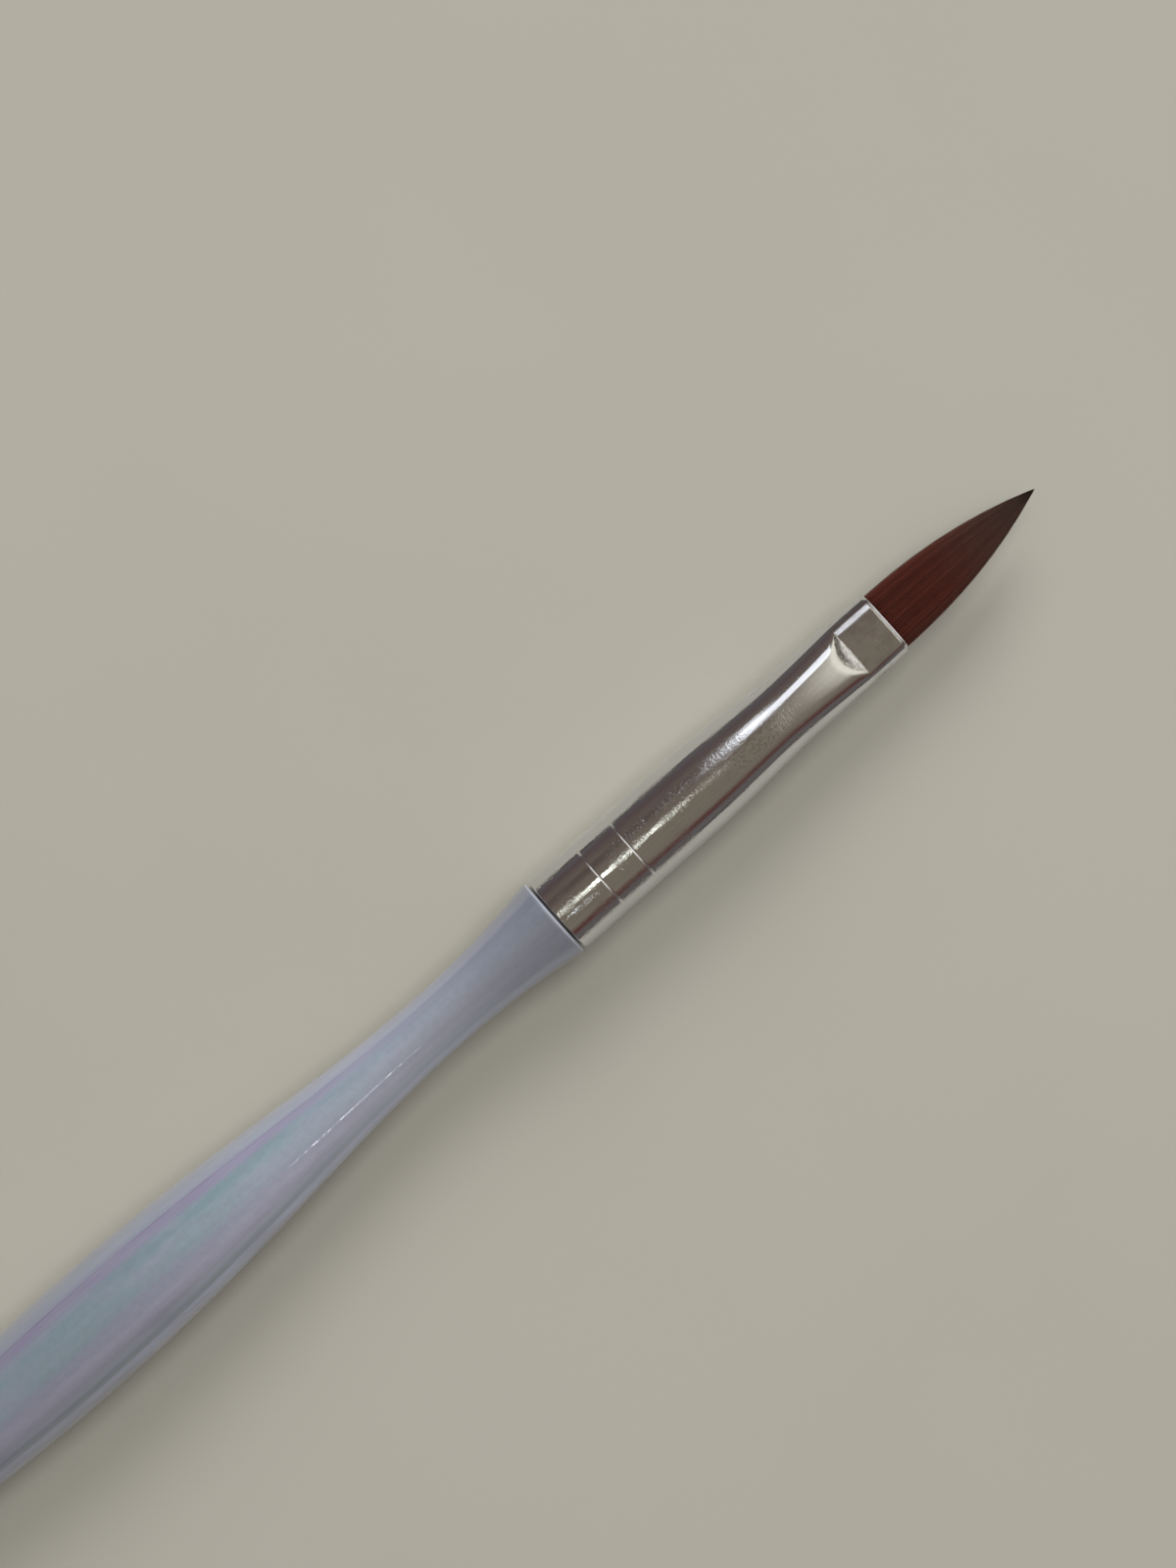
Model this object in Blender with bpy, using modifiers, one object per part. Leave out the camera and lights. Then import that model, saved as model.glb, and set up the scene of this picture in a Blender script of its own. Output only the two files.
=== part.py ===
"""A fine detail brush: a pointed hair tuft, a crimped metal ferrule and a turned pearl handle.

Lengths are metres. The brush lies along X with its hair at +X, and the ferrule's pressed flats face up and
down. Places along the brush count from the handle's shoulder, x = 0, where the ferrule butts. The empty that
carries every piece lifts the brush onto its belly and centres its length over the origin.
"""
import math

import bmesh
import bpy
import numpy as np
from mathutils import Vector
from mathutils.geometry import interpolate_bezier

# Ferrule: a seamless drawn tube, straight at the back, tapered and pressed flat at the mouth
FERRULE_LENGTH = 0.0352
FERRULE_DIAMETER = 0.0070
FERRULE_WALL = 0.00026
BARREL_LENGTH = 0.0145      # straight stretch in front of the shoulder
NECK_LENGTH = 0.0090        # last stretch before the mouth, where the sides hardly narrow any more
NECK_WIDTH = 0.00608        # across the sides where the neck begins
MOUTH_WIDTH = 0.00592       # across the sides at the mouth
MOUTH_HEIGHT = 0.00376      # top to bottom at the mouth, before it is pressed
LEVEL_LENGTH = 0.0023       # last stretch before the mouth, where that height stays the same
STEEPEST_PLACE = 0.85       # where the top line slopes most, as a share of its way down from the barrel
LIP_ROUNDING = 0.00006
CRIMP_LENGTH = 0.0038
CRIMP_THICKNESS = 0.0030    # across the two pressed flats
CRIMP_RAMP = math.radians(32.0)
ROLL_SETBACK = 0.0048       # from the shoulder to the first rolled ring
ROLL_SPACING = 0.0034
ROLL_COUNT = 2
ROLL_WIDTH = 0.00022
ROLL_DEPTH = 0.00006

# Handle: turned in one piece with its spigot
HANDLE_LENGTH = 0.1240      # shoulder to the end of the tail
RIM_PROUD = 0.00012         # how far the shoulder's rim stands above the ferrule
RIM_ROUNDING = 0.00035
FLARE_REACH = 0.0040
FLARE_SLOPE = 0.15
WAIST_PLACE = 0.0128        # from the shoulder to the narrowest place
WAIST_DIAMETER = 0.00528
WAIST_EASE_FRONT = 0.0050
WAIST_EASE_BACK = 0.0120
BELLY_PLACE = 0.0510        # from the shoulder to the widest place
BELLY_DIAMETER = 0.00956
BELLY_EASE_FRONT = 0.0180
BELLY_EASE_BACK = 0.0140
TAIL_DIAMETER = 0.0038
TAIL_EASE = 0.0400
TAIL_SLOPE = 0.012
SPIGOT_LENGTH = 0.0105
SPIGOT_CHAMFER = 0.0010

# Hair tuft: its showing length, its root in the ferrule and its strands
HAIR_LENGTH = 0.0160
HAIR_RECESS = 0.0002        # the packed root stops this far inside the mouth
STRAND_PITCH = 0.00019
STRAND_FILL = 0.42          # strand radius as a share of the pitch
STRAND_STRAY = 0.06         # how far a strand sits off its place, as a share of the pitch
STRAND_BENDS = (0.70, 0.42, 0.18)      # where strands bend, as shares of the length from the tip
GOLDEN_ANGLE = math.radians(137.5)
STRAND_SINK = 0.0004        # how deep each strand runs into the packed root
STRAND_TIP = 0.0003         # shortest last stretch of a strand
TUFT_FULLNESS = 2.2         # larger is blunter: the outline is 1 - (1 - t) ** fullness from the tip
TUFT_GATHER = 0.7           # share of the narrowing that bends the strands in; the rest ends them early
TUFT_POINT = 0.05           # the gathered bundle's width at the tip, as a share of that at the mouth
TUFT_SWELL = 0.35           # the bundle's swelling above and below, half way along
SHORTEST_END = 0.82         # the outline's share at which the outermost strands end

# Binding and bonding inside the ferrule
THREAD_DIAMETER = 0.00025
THREAD_PITCH = 0.0007
THREAD_TURNS = 4
BUTT_LENGTH = 0.0012        # root behind the thread, which the resin grips
TIE_BLEND = 0.0025          # length over which the tied root spreads to fill the bore
AIR_SPACE = 0.0030          # empty bore between the spigot's nose and the resin
RESIN_LENGTH = 0.0024
RESIN_DISH = 0.0004
GLUE_FILLET = 0.0006

# Fits
CLEARANCE = 0.0001          # between a piece inside the ferrule and what it seats on
TUFT_CLEARANCE = 0.00006    # between the packed hair and the bore
SHOULDER_GAP = 0.0002       # the fine dark line between the handle's rim and the ferrule

# Fineness of the round pieces
SEGMENTS = 40
FLAT_EDGE_POINT = 6         # the point of a ring, counted from its side, that keeps to the flat's edge
TAPER_STEPS = 12
ROLL_STEPS = 3
BEZIER_STEPS = 13
LIP_STEPS = 2
RIM_STEPS = 4
TAIL_STEPS = 4
DISH_STEPS = 4
ROOT_STEPS = 5              # rings of the packed root where it spreads, and as many up to the crimp
TURN_POINTS = 24            # points in one turn of the tie thread
HALVINGS = 40               # steps of the search for the crescent's edge
MEETING = 1e-7              # points closer than this are one point
CREASE = math.radians(35.0)
SQUARE_EDGE = math.radians(60.0)

MOUTH = SHOULDER_GAP + FERRULE_LENGTH
CRIMP_START = MOUTH - CRIMP_LENGTH
BORE_RADIUS = FERRULE_DIAMETER / 2 - FERRULE_WALL
RIM_RADIUS = FERRULE_DIAMETER / 2 + RIM_PROUD
BUTT = SPIGOT_LENGTH + AIR_SPACE + RESIN_LENGTH + CLEARANCE


def clear_scene():
    for old in list(bpy.data.objects):
        bpy.data.objects.remove(old, do_unlink=True)


def collection(name):
    made = bpy.data.collections.new(name)
    bpy.context.scene.collection.children.link(made)
    return made


def material(name, colour, roughness, metallic=0.0):
    made = bpy.data.materials.new(name)
    made.use_nodes = True
    shader = made.node_tree.nodes["Principled BSDF"]
    shader.inputs["Base Color"].default_value = (*colour, 1.0)
    shader.inputs["Roughness"].default_value = roughness
    shader.inputs["Metallic"].default_value = metallic
    return made


def mix(start, end, share):
    return start + (end - start) * share


def ease(value):
    """Half a cosine wave: 0 up to value 0, 1 from value 1, level at both ends."""
    return 0.5 - 0.5 * math.cos(math.pi * min(max(value, 0.0), 1.0))


def add_object(name, data, finish, group, carrier):
    """A named object with its own material, carried by the brush's axis."""
    made = bpy.data.objects.new(name, data)
    data.materials.append(finish)
    group.objects.link(made)
    made.parent = carrier
    return made


def turned(name, profile, closed, finish, group, carrier):
    """A piece turned about X, its profile's (x, radius) pairs running backwards on the outer side."""
    shape = bpy.data.meshes.new(name)
    count = len(profile)
    edges = [(i, i + 1) for i in range(count - 1)]
    if closed:
        edges.append((count - 1, 0))
    shape.from_pydata([(x, radius, 0.0) for x, radius in profile], edges, [])
    made = add_object(name, shape, finish, group, carrier)
    spin = made.modifiers.new("turning", "SCREW")
    spin.axis = "X"
    spin.angle = 2 * math.pi
    spin.steps = SEGMENTS
    spin.render_steps = SEGMENTS
    spin.use_merge_vertices = True
    spin.merge_threshold = MEETING
    spin.use_smooth_shade = True


def loft(name, rings, capped):
    """A mesh skinned over rings of equal point counts, which may meet, with or without flat ends."""
    body = bmesh.new()
    rows = [[body.verts.new(point) for point in ring] for ring in rings]
    around = len(rings[0])
    for row, following in zip(rows, rows[1:]):
        for i in range(around):
            j = (i + 1) % around
            body.faces.new((row[i], row[j], following[j], following[i]))
    if capped:
        body.faces.new(rows[0][::-1])
        body.faces.new(rows[-1])
    bmesh.ops.remove_doubles(body, verts=body.verts, dist=MEETING)
    bmesh.ops.recalc_face_normals(body, faces=body.faces)
    shape = bpy.data.meshes.new(name)
    body.to_mesh(shape)
    body.free()
    return shape


def smooth(shape):
    shape.shade_smooth()
    shape.set_sharp_from_angle(angle=CREASE)


def ferrule_half_width(x):
    """Half the width across Y: the barrel, an eased taper, then the nearly parallel neck."""
    neck = MOUTH - NECK_LENGTH
    if x < neck:
        return mix(FERRULE_DIAMETER, NECK_WIDTH, ease((x - BARREL_LENGTH) / (neck - BARREL_LENGTH))) / 2
    return mix(NECK_WIDTH, MOUTH_WIDTH, (x - neck) / NECK_LENGTH) / 2


def ferrule_half_height(x):
    """Half the height across Z before pressing: a parabola down from the barrel, and a short one that levels it."""
    level = MOUTH - LEVEL_LENGTH
    share = min(max((x - BARREL_LENGTH) / (level - BARREL_LENGTH), 0.0), 1.0)
    if share < STEEPEST_PLACE:
        drop = share ** 2 / STEEPEST_PLACE
    else:
        drop = 1.0 - (1.0 - share) ** 2 / (1.0 - STEEPEST_PLACE)
    return mix(FERRULE_DIAMETER, MOUTH_HEIGHT, drop) / 2


def bore_radius(x):
    """Radius of the largest round that the bore takes at x."""
    return min(ferrule_half_width(x), ferrule_half_height(x)) - FERRULE_WALL


def jaw_half_height(x):
    """The crimping jaw's height above the axis: level over the crimp, then rising at the ramp's angle."""
    return CRIMP_THICKNESS / 2 + max(0.0, CRIMP_START - x) * math.tan(CRIMP_RAMP)


def roll_places():
    return [ROLL_SETBACK + ROLL_SPACING * i for i in range(ROLL_COUNT)]


def roll_depth(x):
    """Depth of the rolled rings at x, one groove each whose sides slope evenly to its middle."""
    shares = [abs(x - place) / (ROLL_WIDTH / 2) for place in roll_places()]
    return ROLL_DEPTH * sum(max(0.0, 1.0 - share) for share in shares)


def ring_angles(x):
    """Angles of a ring's points: even on the barrel, drawn so that one point keeps to the flat's edge."""
    even = np.arange(SEGMENTS + 1) * 2 * math.pi / SEGMENTS
    even_edge = FLAT_EDGE_POINT * 2 * math.pi / SEGMENTS
    pressed_edge = math.asin(min(1.0, CRIMP_THICKNESS / 2 / ferrule_half_height(max(x, CRIMP_START))))
    edge = mix(even_edge, pressed_edge, ease((x - BARREL_LENGTH) / (CRIMP_START - BARREL_LENGTH)))
    half = math.pi
    knots = [0.0, even_edge, half - even_edge, half, half + even_edge, 2 * half - even_edge, 2 * half]
    drawn = [0.0, edge, half - edge, half, half + edge, 2 * half - edge, 2 * half]
    return np.interp(even, knots, drawn)[:-1]


def pressed_ring(x, half_width, half_height, jaw):
    """Ring of points at x: an ellipse held down to the jaw above and below."""
    turn = ring_angles(x)
    across = half_width * np.cos(turn)
    up = np.clip(half_height * np.sin(turn), -jaw, jaw)
    return [(x, y, z) for y, z in zip(across.tolist(), up.tolist())]


def ferrule_section(x):
    """Ring of the ferrule's outer skin at x."""
    depth = roll_depth(x)
    return pressed_ring(x, ferrule_half_width(x) - depth, ferrule_half_height(x) - depth, jaw_half_height(x))


def bite_place(turn):
    """Where the jaw's ramp leaves the skin along one line of the ferrule, by halving the stretch it is in."""
    behind, ahead = BARREL_LENGTH, CRIMP_START
    for _ in range(HALVINGS):
        middle = (behind + ahead) / 2
        if ferrule_half_height(middle) * abs(math.sin(turn)) > jaw_half_height(middle):
            ahead = middle
        else:
            behind = middle
    return ahead


def bite_ring():
    """The crescent's curved edge: each point lies where the ramp leaves the skin along its line."""
    ring = []
    for turn in ring_angles(CRIMP_START).tolist():
        x = bite_place(turn)
        ring.append((x, ferrule_half_width(x) * math.cos(turn), ferrule_half_height(x) * math.sin(turn)))
    return ring


def ferrule_rings():
    """Rings that the outline needs: the rolled rings, the taper, the crescent's edge and the flats."""
    hollow = np.linspace(-ROLL_WIDTH / 2, ROLL_WIDTH / 2, ROLL_STEPS)
    rolls = [place + offset for place in roll_places() for offset in hollow.tolist()]
    taper = np.linspace(BARREL_LENGTH, CRIMP_START, TAPER_STEPS, endpoint=False).tolist()
    bite = bite_place(math.pi / 2)
    rear = [ferrule_section(x) for x in [SHOULDER_GAP] + rolls + [x for x in taper if x < bite]]
    return rear + [bite_ring(), ferrule_section(CRIMP_START), ferrule_section(MOUTH)]


def make_ferrule(group, carrier):
    """The outer skin is lofted from round to pressed sections; Solidify gives it its wall inwards."""
    nickel = material("nickel_plate", (0.62, 0.61, 0.59), 0.12, 1.0)
    skin = loft("ferrule", ferrule_rings(), capped=False)
    smooth(skin)
    made = add_object("ferrule", skin, nickel, group, carrier)
    wall = made.modifiers.new("wall", "SOLIDIFY")
    wall.thickness = FERRULE_WALL
    wall.offset = -1.0
    wall.use_even_offset = True
    lip = made.modifiers.new("lip", "BEVEL")
    lip.width = LIP_ROUNDING
    lip.segments = LIP_STEPS
    lip.limit_method = "ANGLE"
    lip.angle_limit = SQUARE_EDGE


def spigot_profile():
    """Front of the handle, from the nose back to the shoulder, hollowed where the ferrule is rolled in."""
    radius = BORE_RADIUS - CLEARANCE
    outline = [(SPIGOT_LENGTH, 0.0), (SPIGOT_LENGTH, radius - SPIGOT_CHAMFER)]
    outline.append((SPIGOT_LENGTH - SPIGOT_CHAMFER, radius))
    reach = ROLL_WIDTH / 2 + FERRULE_WALL + CLEARANCE
    for place in reversed(roll_places()):
        outline += [(place + reach, radius), (place + ROLL_WIDTH / 2, radius - ROLL_DEPTH)]
        outline += [(place - ROLL_WIDTH / 2, radius - ROLL_DEPTH), (place - reach, radius)]
    outline.append((0.0, radius))
    return outline


def rim_profile():
    """The shoulder's face and its rounded rim, a quarter circle."""
    middle = RIM_RADIUS - RIM_ROUNDING
    turns = np.linspace(math.pi / 2, 0.0, RIM_STEPS).tolist()
    return [(RIM_ROUNDING * (math.sin(turn) - 1.0), middle + RIM_ROUNDING * math.cos(turn)) for turn in turns]


def grip_profile():
    """Flare, waist, belly and tail, each stretch a Bezier that is level at the waist and the belly."""
    waist = WAIST_DIAMETER / 2
    belly = BELLY_DIAMETER / 2
    tail = TAIL_DIAMETER / 2
    tail_start = HANDLE_LENGTH - tail
    stretches = [
        ((RIM_ROUNDING, RIM_RADIUS), (FLARE_REACH, RIM_RADIUS - FLARE_REACH * FLARE_SLOPE),
         (WAIST_PLACE - WAIST_EASE_FRONT, waist), (WAIST_PLACE, waist)),
        ((WAIST_PLACE, waist), (WAIST_PLACE + WAIST_EASE_BACK, waist),
         (BELLY_PLACE - BELLY_EASE_FRONT, belly), (BELLY_PLACE, belly)),
        ((BELLY_PLACE, belly), (BELLY_PLACE + BELLY_EASE_BACK, belly),
         (tail_start - TAIL_EASE, tail + TAIL_EASE * TAIL_SLOPE), (tail_start, tail)),
    ]
    outline = []
    for knots in stretches:
        start, leave, arrive, end = [Vector((-along, radius, 0.0)) for along, radius in knots]
        curve = interpolate_bezier(start, leave, arrive, end, BEZIER_STEPS)
        outline += [(point.x, point.y) for point in curve[1:]]
    for turn in np.linspace(0.0, math.pi / 2, TAIL_STEPS, endpoint=False).tolist()[1:]:
        outline.append((-tail_start - tail * math.sin(turn), tail * math.cos(turn)))
    outline.append((-HANDLE_LENGTH, 0.0))
    return outline


def make_handle(group, carrier):
    pearl = material("pearl_handle", (0.31, 0.32, 0.40), 0.15)
    turned("handle", spigot_profile() + rim_profile() + grip_profile(), False, pearl, group, carrier)


def tie_front():
    """The thread's front end: the butts, then the wound length and a thread's width of play."""
    return BUTT + BUTT_LENGTH + THREAD_PITCH * THREAD_TURNS + 2 * THREAD_DIAMETER


def thread_radius():
    """Radius of the thread's middle line: as large as the bore at its front end allows."""
    return bore_radius(tie_front()) - CLEARANCE - THREAD_DIAMETER / 2


def tied_radius():
    return thread_radius() - THREAD_DIAMETER / 2 - CLEARANCE


def root_section(x):
    """Ring of the packed root: round where it is tied, spreading to the shape of the bore in front."""
    spread = ease((x - tie_front()) / TIE_BLEND)
    inset = FERRULE_WALL + TUFT_CLEARANCE
    half_width = mix(tied_radius(), ferrule_half_width(x) - inset, spread)
    half_height = mix(tied_radius(), ferrule_half_height(x) - inset, spread)
    return pressed_ring(x, half_width, half_height, jaw_half_height(x) - inset)


def root_stations():
    """Places along the packed root: its butts, where it spreads, and the ferrule's own ahead of that."""
    spread = np.linspace(tie_front(), tie_front() + TIE_BLEND, ROOT_STEPS).tolist()
    packed = np.linspace(spread[-1], CRIMP_START, ROOT_STEPS).tolist()
    return sorted([BUTT] + spread + packed[1:] + [bite_place(math.pi / 2), MOUTH - HAIR_RECESS])


def tuft_outline(share):
    """The tuft's half width at a share of its length from the tip, as a share of that at the mouth."""
    return 1.0 - (1.0 - np.minimum(share, 1.0)) ** TUFT_FULLNESS


def strand_place(share):
    """Place along the brush of a share of the showing length, counted from the tip."""
    return MOUTH + HAIR_LENGTH * (1.0 - share)


def strand_stations():
    """Places shared by all strands, as shares of the showing length from the tip, sunk root first."""
    return np.array([1.0 + (HAIR_RECESS + STRAND_SINK) / HAIR_LENGTH, *STRAND_BENDS, 0.0])


def strand_gather(share):
    """How far the bundle is drawn in at a share, straight between the shared stations, for Y and Z."""
    stations = strand_stations()[::-1]
    drawn = mix(TUFT_POINT, 1.0, tuft_outline(stations) ** TUFT_GATHER)
    swell = 1.0 + TUFT_SWELL * np.sin(math.pi * np.minimum(stations, 1.0))
    return np.interp(share, stations, drawn), np.interp(share, stations, drawn * swell)


def strand_roots():
    """Places of the strands at the mouth, close packed inside the pressed opening and a little astray."""
    inset = FERRULE_WALL + TUFT_CLEARANCE + STRAND_PITCH * (STRAND_FILL + STRAND_STRAY)
    stray = STRAND_PITCH * STRAND_STRAY
    wide = ferrule_half_width(MOUTH) - inset
    high = ferrule_half_height(MOUTH) - inset
    jaw = CRIMP_THICKNESS / 2 - inset
    row_step = STRAND_PITCH * math.sqrt(3) / 2
    rows = int(high / row_step) + 1
    columns = int(wide / STRAND_PITCH) + 1
    places = []
    for row in range(-rows, rows + 1):
        z = row * row_step
        for column in range(-columns, columns + 1):
            y = (column + 0.5 * (row % 2)) * STRAND_PITCH
            if abs(z) <= jaw and (y / wide) ** 2 + (z / high) ** 2 <= 1.0:
                turn = GOLDEN_ANGLE * len(places)
                reach = min(1.0, math.hypot(y / wide, z / jaw))
                places.append((y + stray * math.cos(turn), z + stray * math.sin(turn), reach))
    return places


def strand_end(reach):
    """Share at which a strand ends: where its own place in the bundle meets the tuft's outline."""
    outline = min(SHORTEST_END, reach ** (1.0 / (1.0 - TUFT_GATHER)))
    end = 1.0 - (1.0 - outline) ** (1.0 / TUFT_FULLNESS)
    shortest = STRAND_TIP / HAIR_LENGTH
    for station in strand_stations()[:-1]:
        if 0.0 <= station - end < shortest:
            end = station - shortest
    return max(end, 0.0)


def make_strands(cutters, carrier):
    """All strands as splines of one curve with a three-sided bevel, then welded into a mesh."""
    corner = STRAND_PITCH * STRAND_FILL
    section = bpy.data.curves.new("strand_section", "CURVE")
    section.dimensions = "2D"
    outline = section.splines.new("POLY")
    outline.points.add(2)
    outline.use_cyclic_u = True
    for point, angle in zip(outline.points, (90, 210, 330)):
        point.co = (corner * math.cos(math.radians(angle)), corner * math.sin(math.radians(angle)), 0.0, 1.0)
    section_guide = bpy.data.objects.new("strand_section", section)
    cutters.objects.link(section_guide)

    strands = bpy.data.curves.new("strand_curves", "CURVE")
    strands.dimensions = "3D"
    strands.bevel_mode = "OBJECT"
    strands.bevel_object = section_guide
    strands.use_fill_caps = True
    roots = strand_roots()
    for y, z, reach in roots:
        end = strand_end(reach)
        shares = [share for share in strand_stations() if share > end] + [end]
        across, up = strand_gather(np.array(shares))
        spline = strands.splines.new("POLY")
        spline.points.add(len(shares) - 1)
        for point, share, wide, high in zip(spline.points, shares, across, up):
            point.co = (strand_place(share), y * wide, z * high, 1.0)
            point.radius = 0.0 if share == end else min(wide, high)
    guide = bpy.data.objects.new("strand_curves", strands)
    cutters.objects.link(guide)
    guide.parent = carrier
    bpy.context.view_layer.update()

    evaluated = guide.evaluated_get(bpy.context.evaluated_depsgraph_get())
    shape = bpy.data.meshes.new_from_object(evaluated)
    body = bmesh.new()
    body.from_mesh(shape)
    bmesh.ops.remove_doubles(body, verts=body.verts, dist=MEETING)
    bmesh.ops.recalc_face_normals(body, faces=body.faces)
    body.to_mesh(shape)
    body.free()
    made = bpy.data.objects.new("strands", shape)
    cutters.objects.link(made)
    made.matrix_world = guide.matrix_world
    bpy.data.objects.remove(guide, do_unlink=True)
    bpy.data.objects.remove(section_guide, do_unlink=True)
    made.hide_render = True
    made.display_type = "WIRE"
    print("strands in the tuft:", len(roots))
    return made


def make_hair_tuft(group, cutters, carrier):
    """The packed root is lofted to the bore; the strands are joined to its front face."""
    hair = material("red_brown_hair", (0.045, 0.014, 0.010), 0.45)
    made = add_object("hair_tuft", loft("hair_tuft", [root_section(x) for x in root_stations()], capped=True),
                      hair, group, carrier)
    joined = made.modifiers.new("strands", "BOOLEAN")
    joined.operation = "UNION"
    joined.solver = "EXACT"
    joined.object = make_strands(cutters, carrier)


def least_gap(points, diameter, apart):
    """Least free distance between points of a winding that lie more than some points apart along it."""
    line = np.array(points)
    spread = np.linalg.norm(line[:, None, :] - line[None, :, :], axis=2)
    order = np.arange(len(line))
    distant = np.abs(order[:, None] - order[None, :]) > apart
    return spread[distant].min() - diameter


def make_tie_thread(group, carrier):
    """One thread wound round the tied root, with a straight end of its own thickness at each side."""
    cotton = material("tie_thread", (0.62, 0.55, 0.42), 0.8)
    radius = thread_radius()
    start = BUTT + BUTT_LENGTH + THREAD_DIAMETER
    line = []
    for i in range(TURN_POINTS * THREAD_TURNS + 1):
        turn = 2 * math.pi * i / TURN_POINTS
        place = start + THREAD_PITCH * i / TURN_POINTS
        line.append((place, radius * math.cos(turn), radius * math.sin(turn)))
    line.insert(0, (line[0][0], line[0][1], line[0][2] - THREAD_DIAMETER))
    line.append((line[-1][0], line[-1][1], line[-1][2] + THREAD_DIAMETER))
    gap = least_gap(line, THREAD_DIAMETER, TURN_POINTS // 2)
    print(f"least gap between turns of the tie thread: {gap * 1000:.3f} mm")
    winding = bpy.data.curves.new("tie_thread", "CURVE")
    winding.dimensions = "3D"
    winding.bevel_depth = THREAD_DIAMETER / 2
    winding.bevel_resolution = 1
    winding.use_fill_caps = True
    spline = winding.splines.new("POLY")
    spline.points.add(len(line) - 1)
    for point, spot in zip(spline.points, line):
        point.co = (*spot, 1.0)
    add_object("tie_thread", winding, cotton, group, carrier)


def make_root_resin(group, carrier):
    """A plug turned to the bore, cupped in front round the hair butts and dished behind as it set."""
    amber = material("set_resin", (0.45, 0.26, 0.08), 0.25)
    front = BUTT + BUTT_LENGTH - CLEARANCE
    floor = BUTT - CLEARANCE
    back = floor - RESIN_LENGTH
    outer = bore_radius(front) - CLEARANCE
    cup = tied_radius() + CLEARANCE
    profile = [(floor, 0.0), (floor, cup), (front, cup), (front, outer), (back, outer)]
    for share in np.linspace(1.0, 0.0, DISH_STEPS + 1).tolist()[1:]:
        profile.append((back + RESIN_DISH * (1.0 - share ** 2), outer * share))
    turned("root_resin", profile, False, amber, group, carrier)


def make_handle_glue(group, carrier):
    """A ring of glue in the corner between the spigot's chamfered nose and the bore."""
    clear_glue = material("handle_glue", (0.60, 0.52, 0.30), 0.3)
    outer = BORE_RADIUS - CLEARANCE
    rear = SPIGOT_LENGTH - SPIGOT_CHAMFER + 2 * CLEARANCE
    nose = SPIGOT_LENGTH + 2 * CLEARANCE
    profile = [(nose + GLUE_FILLET, outer), (rear, outer), (nose, outer - SPIGOT_CHAMFER)]
    turned("handle_glue", profile, True, clear_glue, group, carrier)


def main():
    clear_scene()
    brush = collection("fine_detail_brush")
    cutters = collection("cutters")
    axis = bpy.data.objects.new("brush_axis", None)
    brush.objects.link(axis)
    tip = strand_place(0.0)
    axis.location = ((HANDLE_LENGTH - tip) / 2, 0.0, BELLY_DIAMETER / 2)
    bpy.context.view_layer.update()

    make_handle(brush, axis)
    make_handle_glue(brush, axis)
    make_ferrule(brush, axis)
    make_root_resin(brush, axis)
    make_tie_thread(brush, axis)
    make_hair_tuft(brush, cutters, axis)
    print(f"length overall: {(tip + HANDLE_LENGTH) * 1000:.1f} mm")


main()
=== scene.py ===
# %% [markdown]
# # A fine detail brush on a pale table
# The brush has three pieces to see: a pointed tuft of red-brown hair, a bright ferrule that is pressed flat
# at its mouth, and a turned handle with a pearl finish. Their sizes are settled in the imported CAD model, so
# this lesson loads that model first as a fixed frame, and then makes finer surfaces and finishes in the
# same place. Lengths are metres. The brush lies along X with its hair at +X.

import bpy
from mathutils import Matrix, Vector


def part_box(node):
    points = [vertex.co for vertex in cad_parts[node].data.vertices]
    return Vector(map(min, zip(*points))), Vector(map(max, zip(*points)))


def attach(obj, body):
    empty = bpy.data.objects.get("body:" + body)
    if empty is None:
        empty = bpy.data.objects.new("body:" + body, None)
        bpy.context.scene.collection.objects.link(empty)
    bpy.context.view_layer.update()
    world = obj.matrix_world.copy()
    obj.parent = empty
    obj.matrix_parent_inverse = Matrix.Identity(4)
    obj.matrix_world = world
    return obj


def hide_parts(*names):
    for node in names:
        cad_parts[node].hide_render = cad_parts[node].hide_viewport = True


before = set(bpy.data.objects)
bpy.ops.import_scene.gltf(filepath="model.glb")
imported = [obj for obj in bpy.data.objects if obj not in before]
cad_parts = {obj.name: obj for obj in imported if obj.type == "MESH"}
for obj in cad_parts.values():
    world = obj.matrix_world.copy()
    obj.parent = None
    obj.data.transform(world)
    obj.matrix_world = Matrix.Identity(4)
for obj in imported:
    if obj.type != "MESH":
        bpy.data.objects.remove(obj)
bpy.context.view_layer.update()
print("CAD nodes:", ", ".join(sorted(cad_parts)))

# %% Find the brush's own axis in the frame
import math

import bpy
import numpy as np
from mathutils import Matrix, Vector

SHOULDER_GAP = 0.0002  # the dark line between the handle's shoulder and the ferrule
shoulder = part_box("ferrule")[0].x - SHOULDER_GAP
axis_height = (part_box("handle")[0].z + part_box("handle")[1].z) / 2
print(f"shoulder at x {shoulder * 1000:.2f} mm, axis {axis_height * 1000:.2f} mm above the lowest point")

# %% [markdown]
# ## Camera
# The photo looks straight down on the table, and the brush crosses it from the lower left to the upper
# right. A camera that looks down and is turned about its own line of sight gives that picture. Its place
# and its lens follow from the photo's scale: so many pixels to a metre, and the point of the brush nearest
# the middle.

# %% Camera over the table
PHOTO_HEIGHT = 1600.0  # pixels
PHOTO_SCALE = 12750.0  # pixels to a metre, at the height of the brush's axis
PHOTO_CENTRE = (0.0090, 0.00617)  # the photo's middle, along and across from the shoulder
BRUSH_LEAN = math.radians(41.75)  # how far the brush rises to the right in the photo
CAMERA_HEIGHT = 0.26
SENSOR = 36.0  # millimetres along the photo's long side

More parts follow.
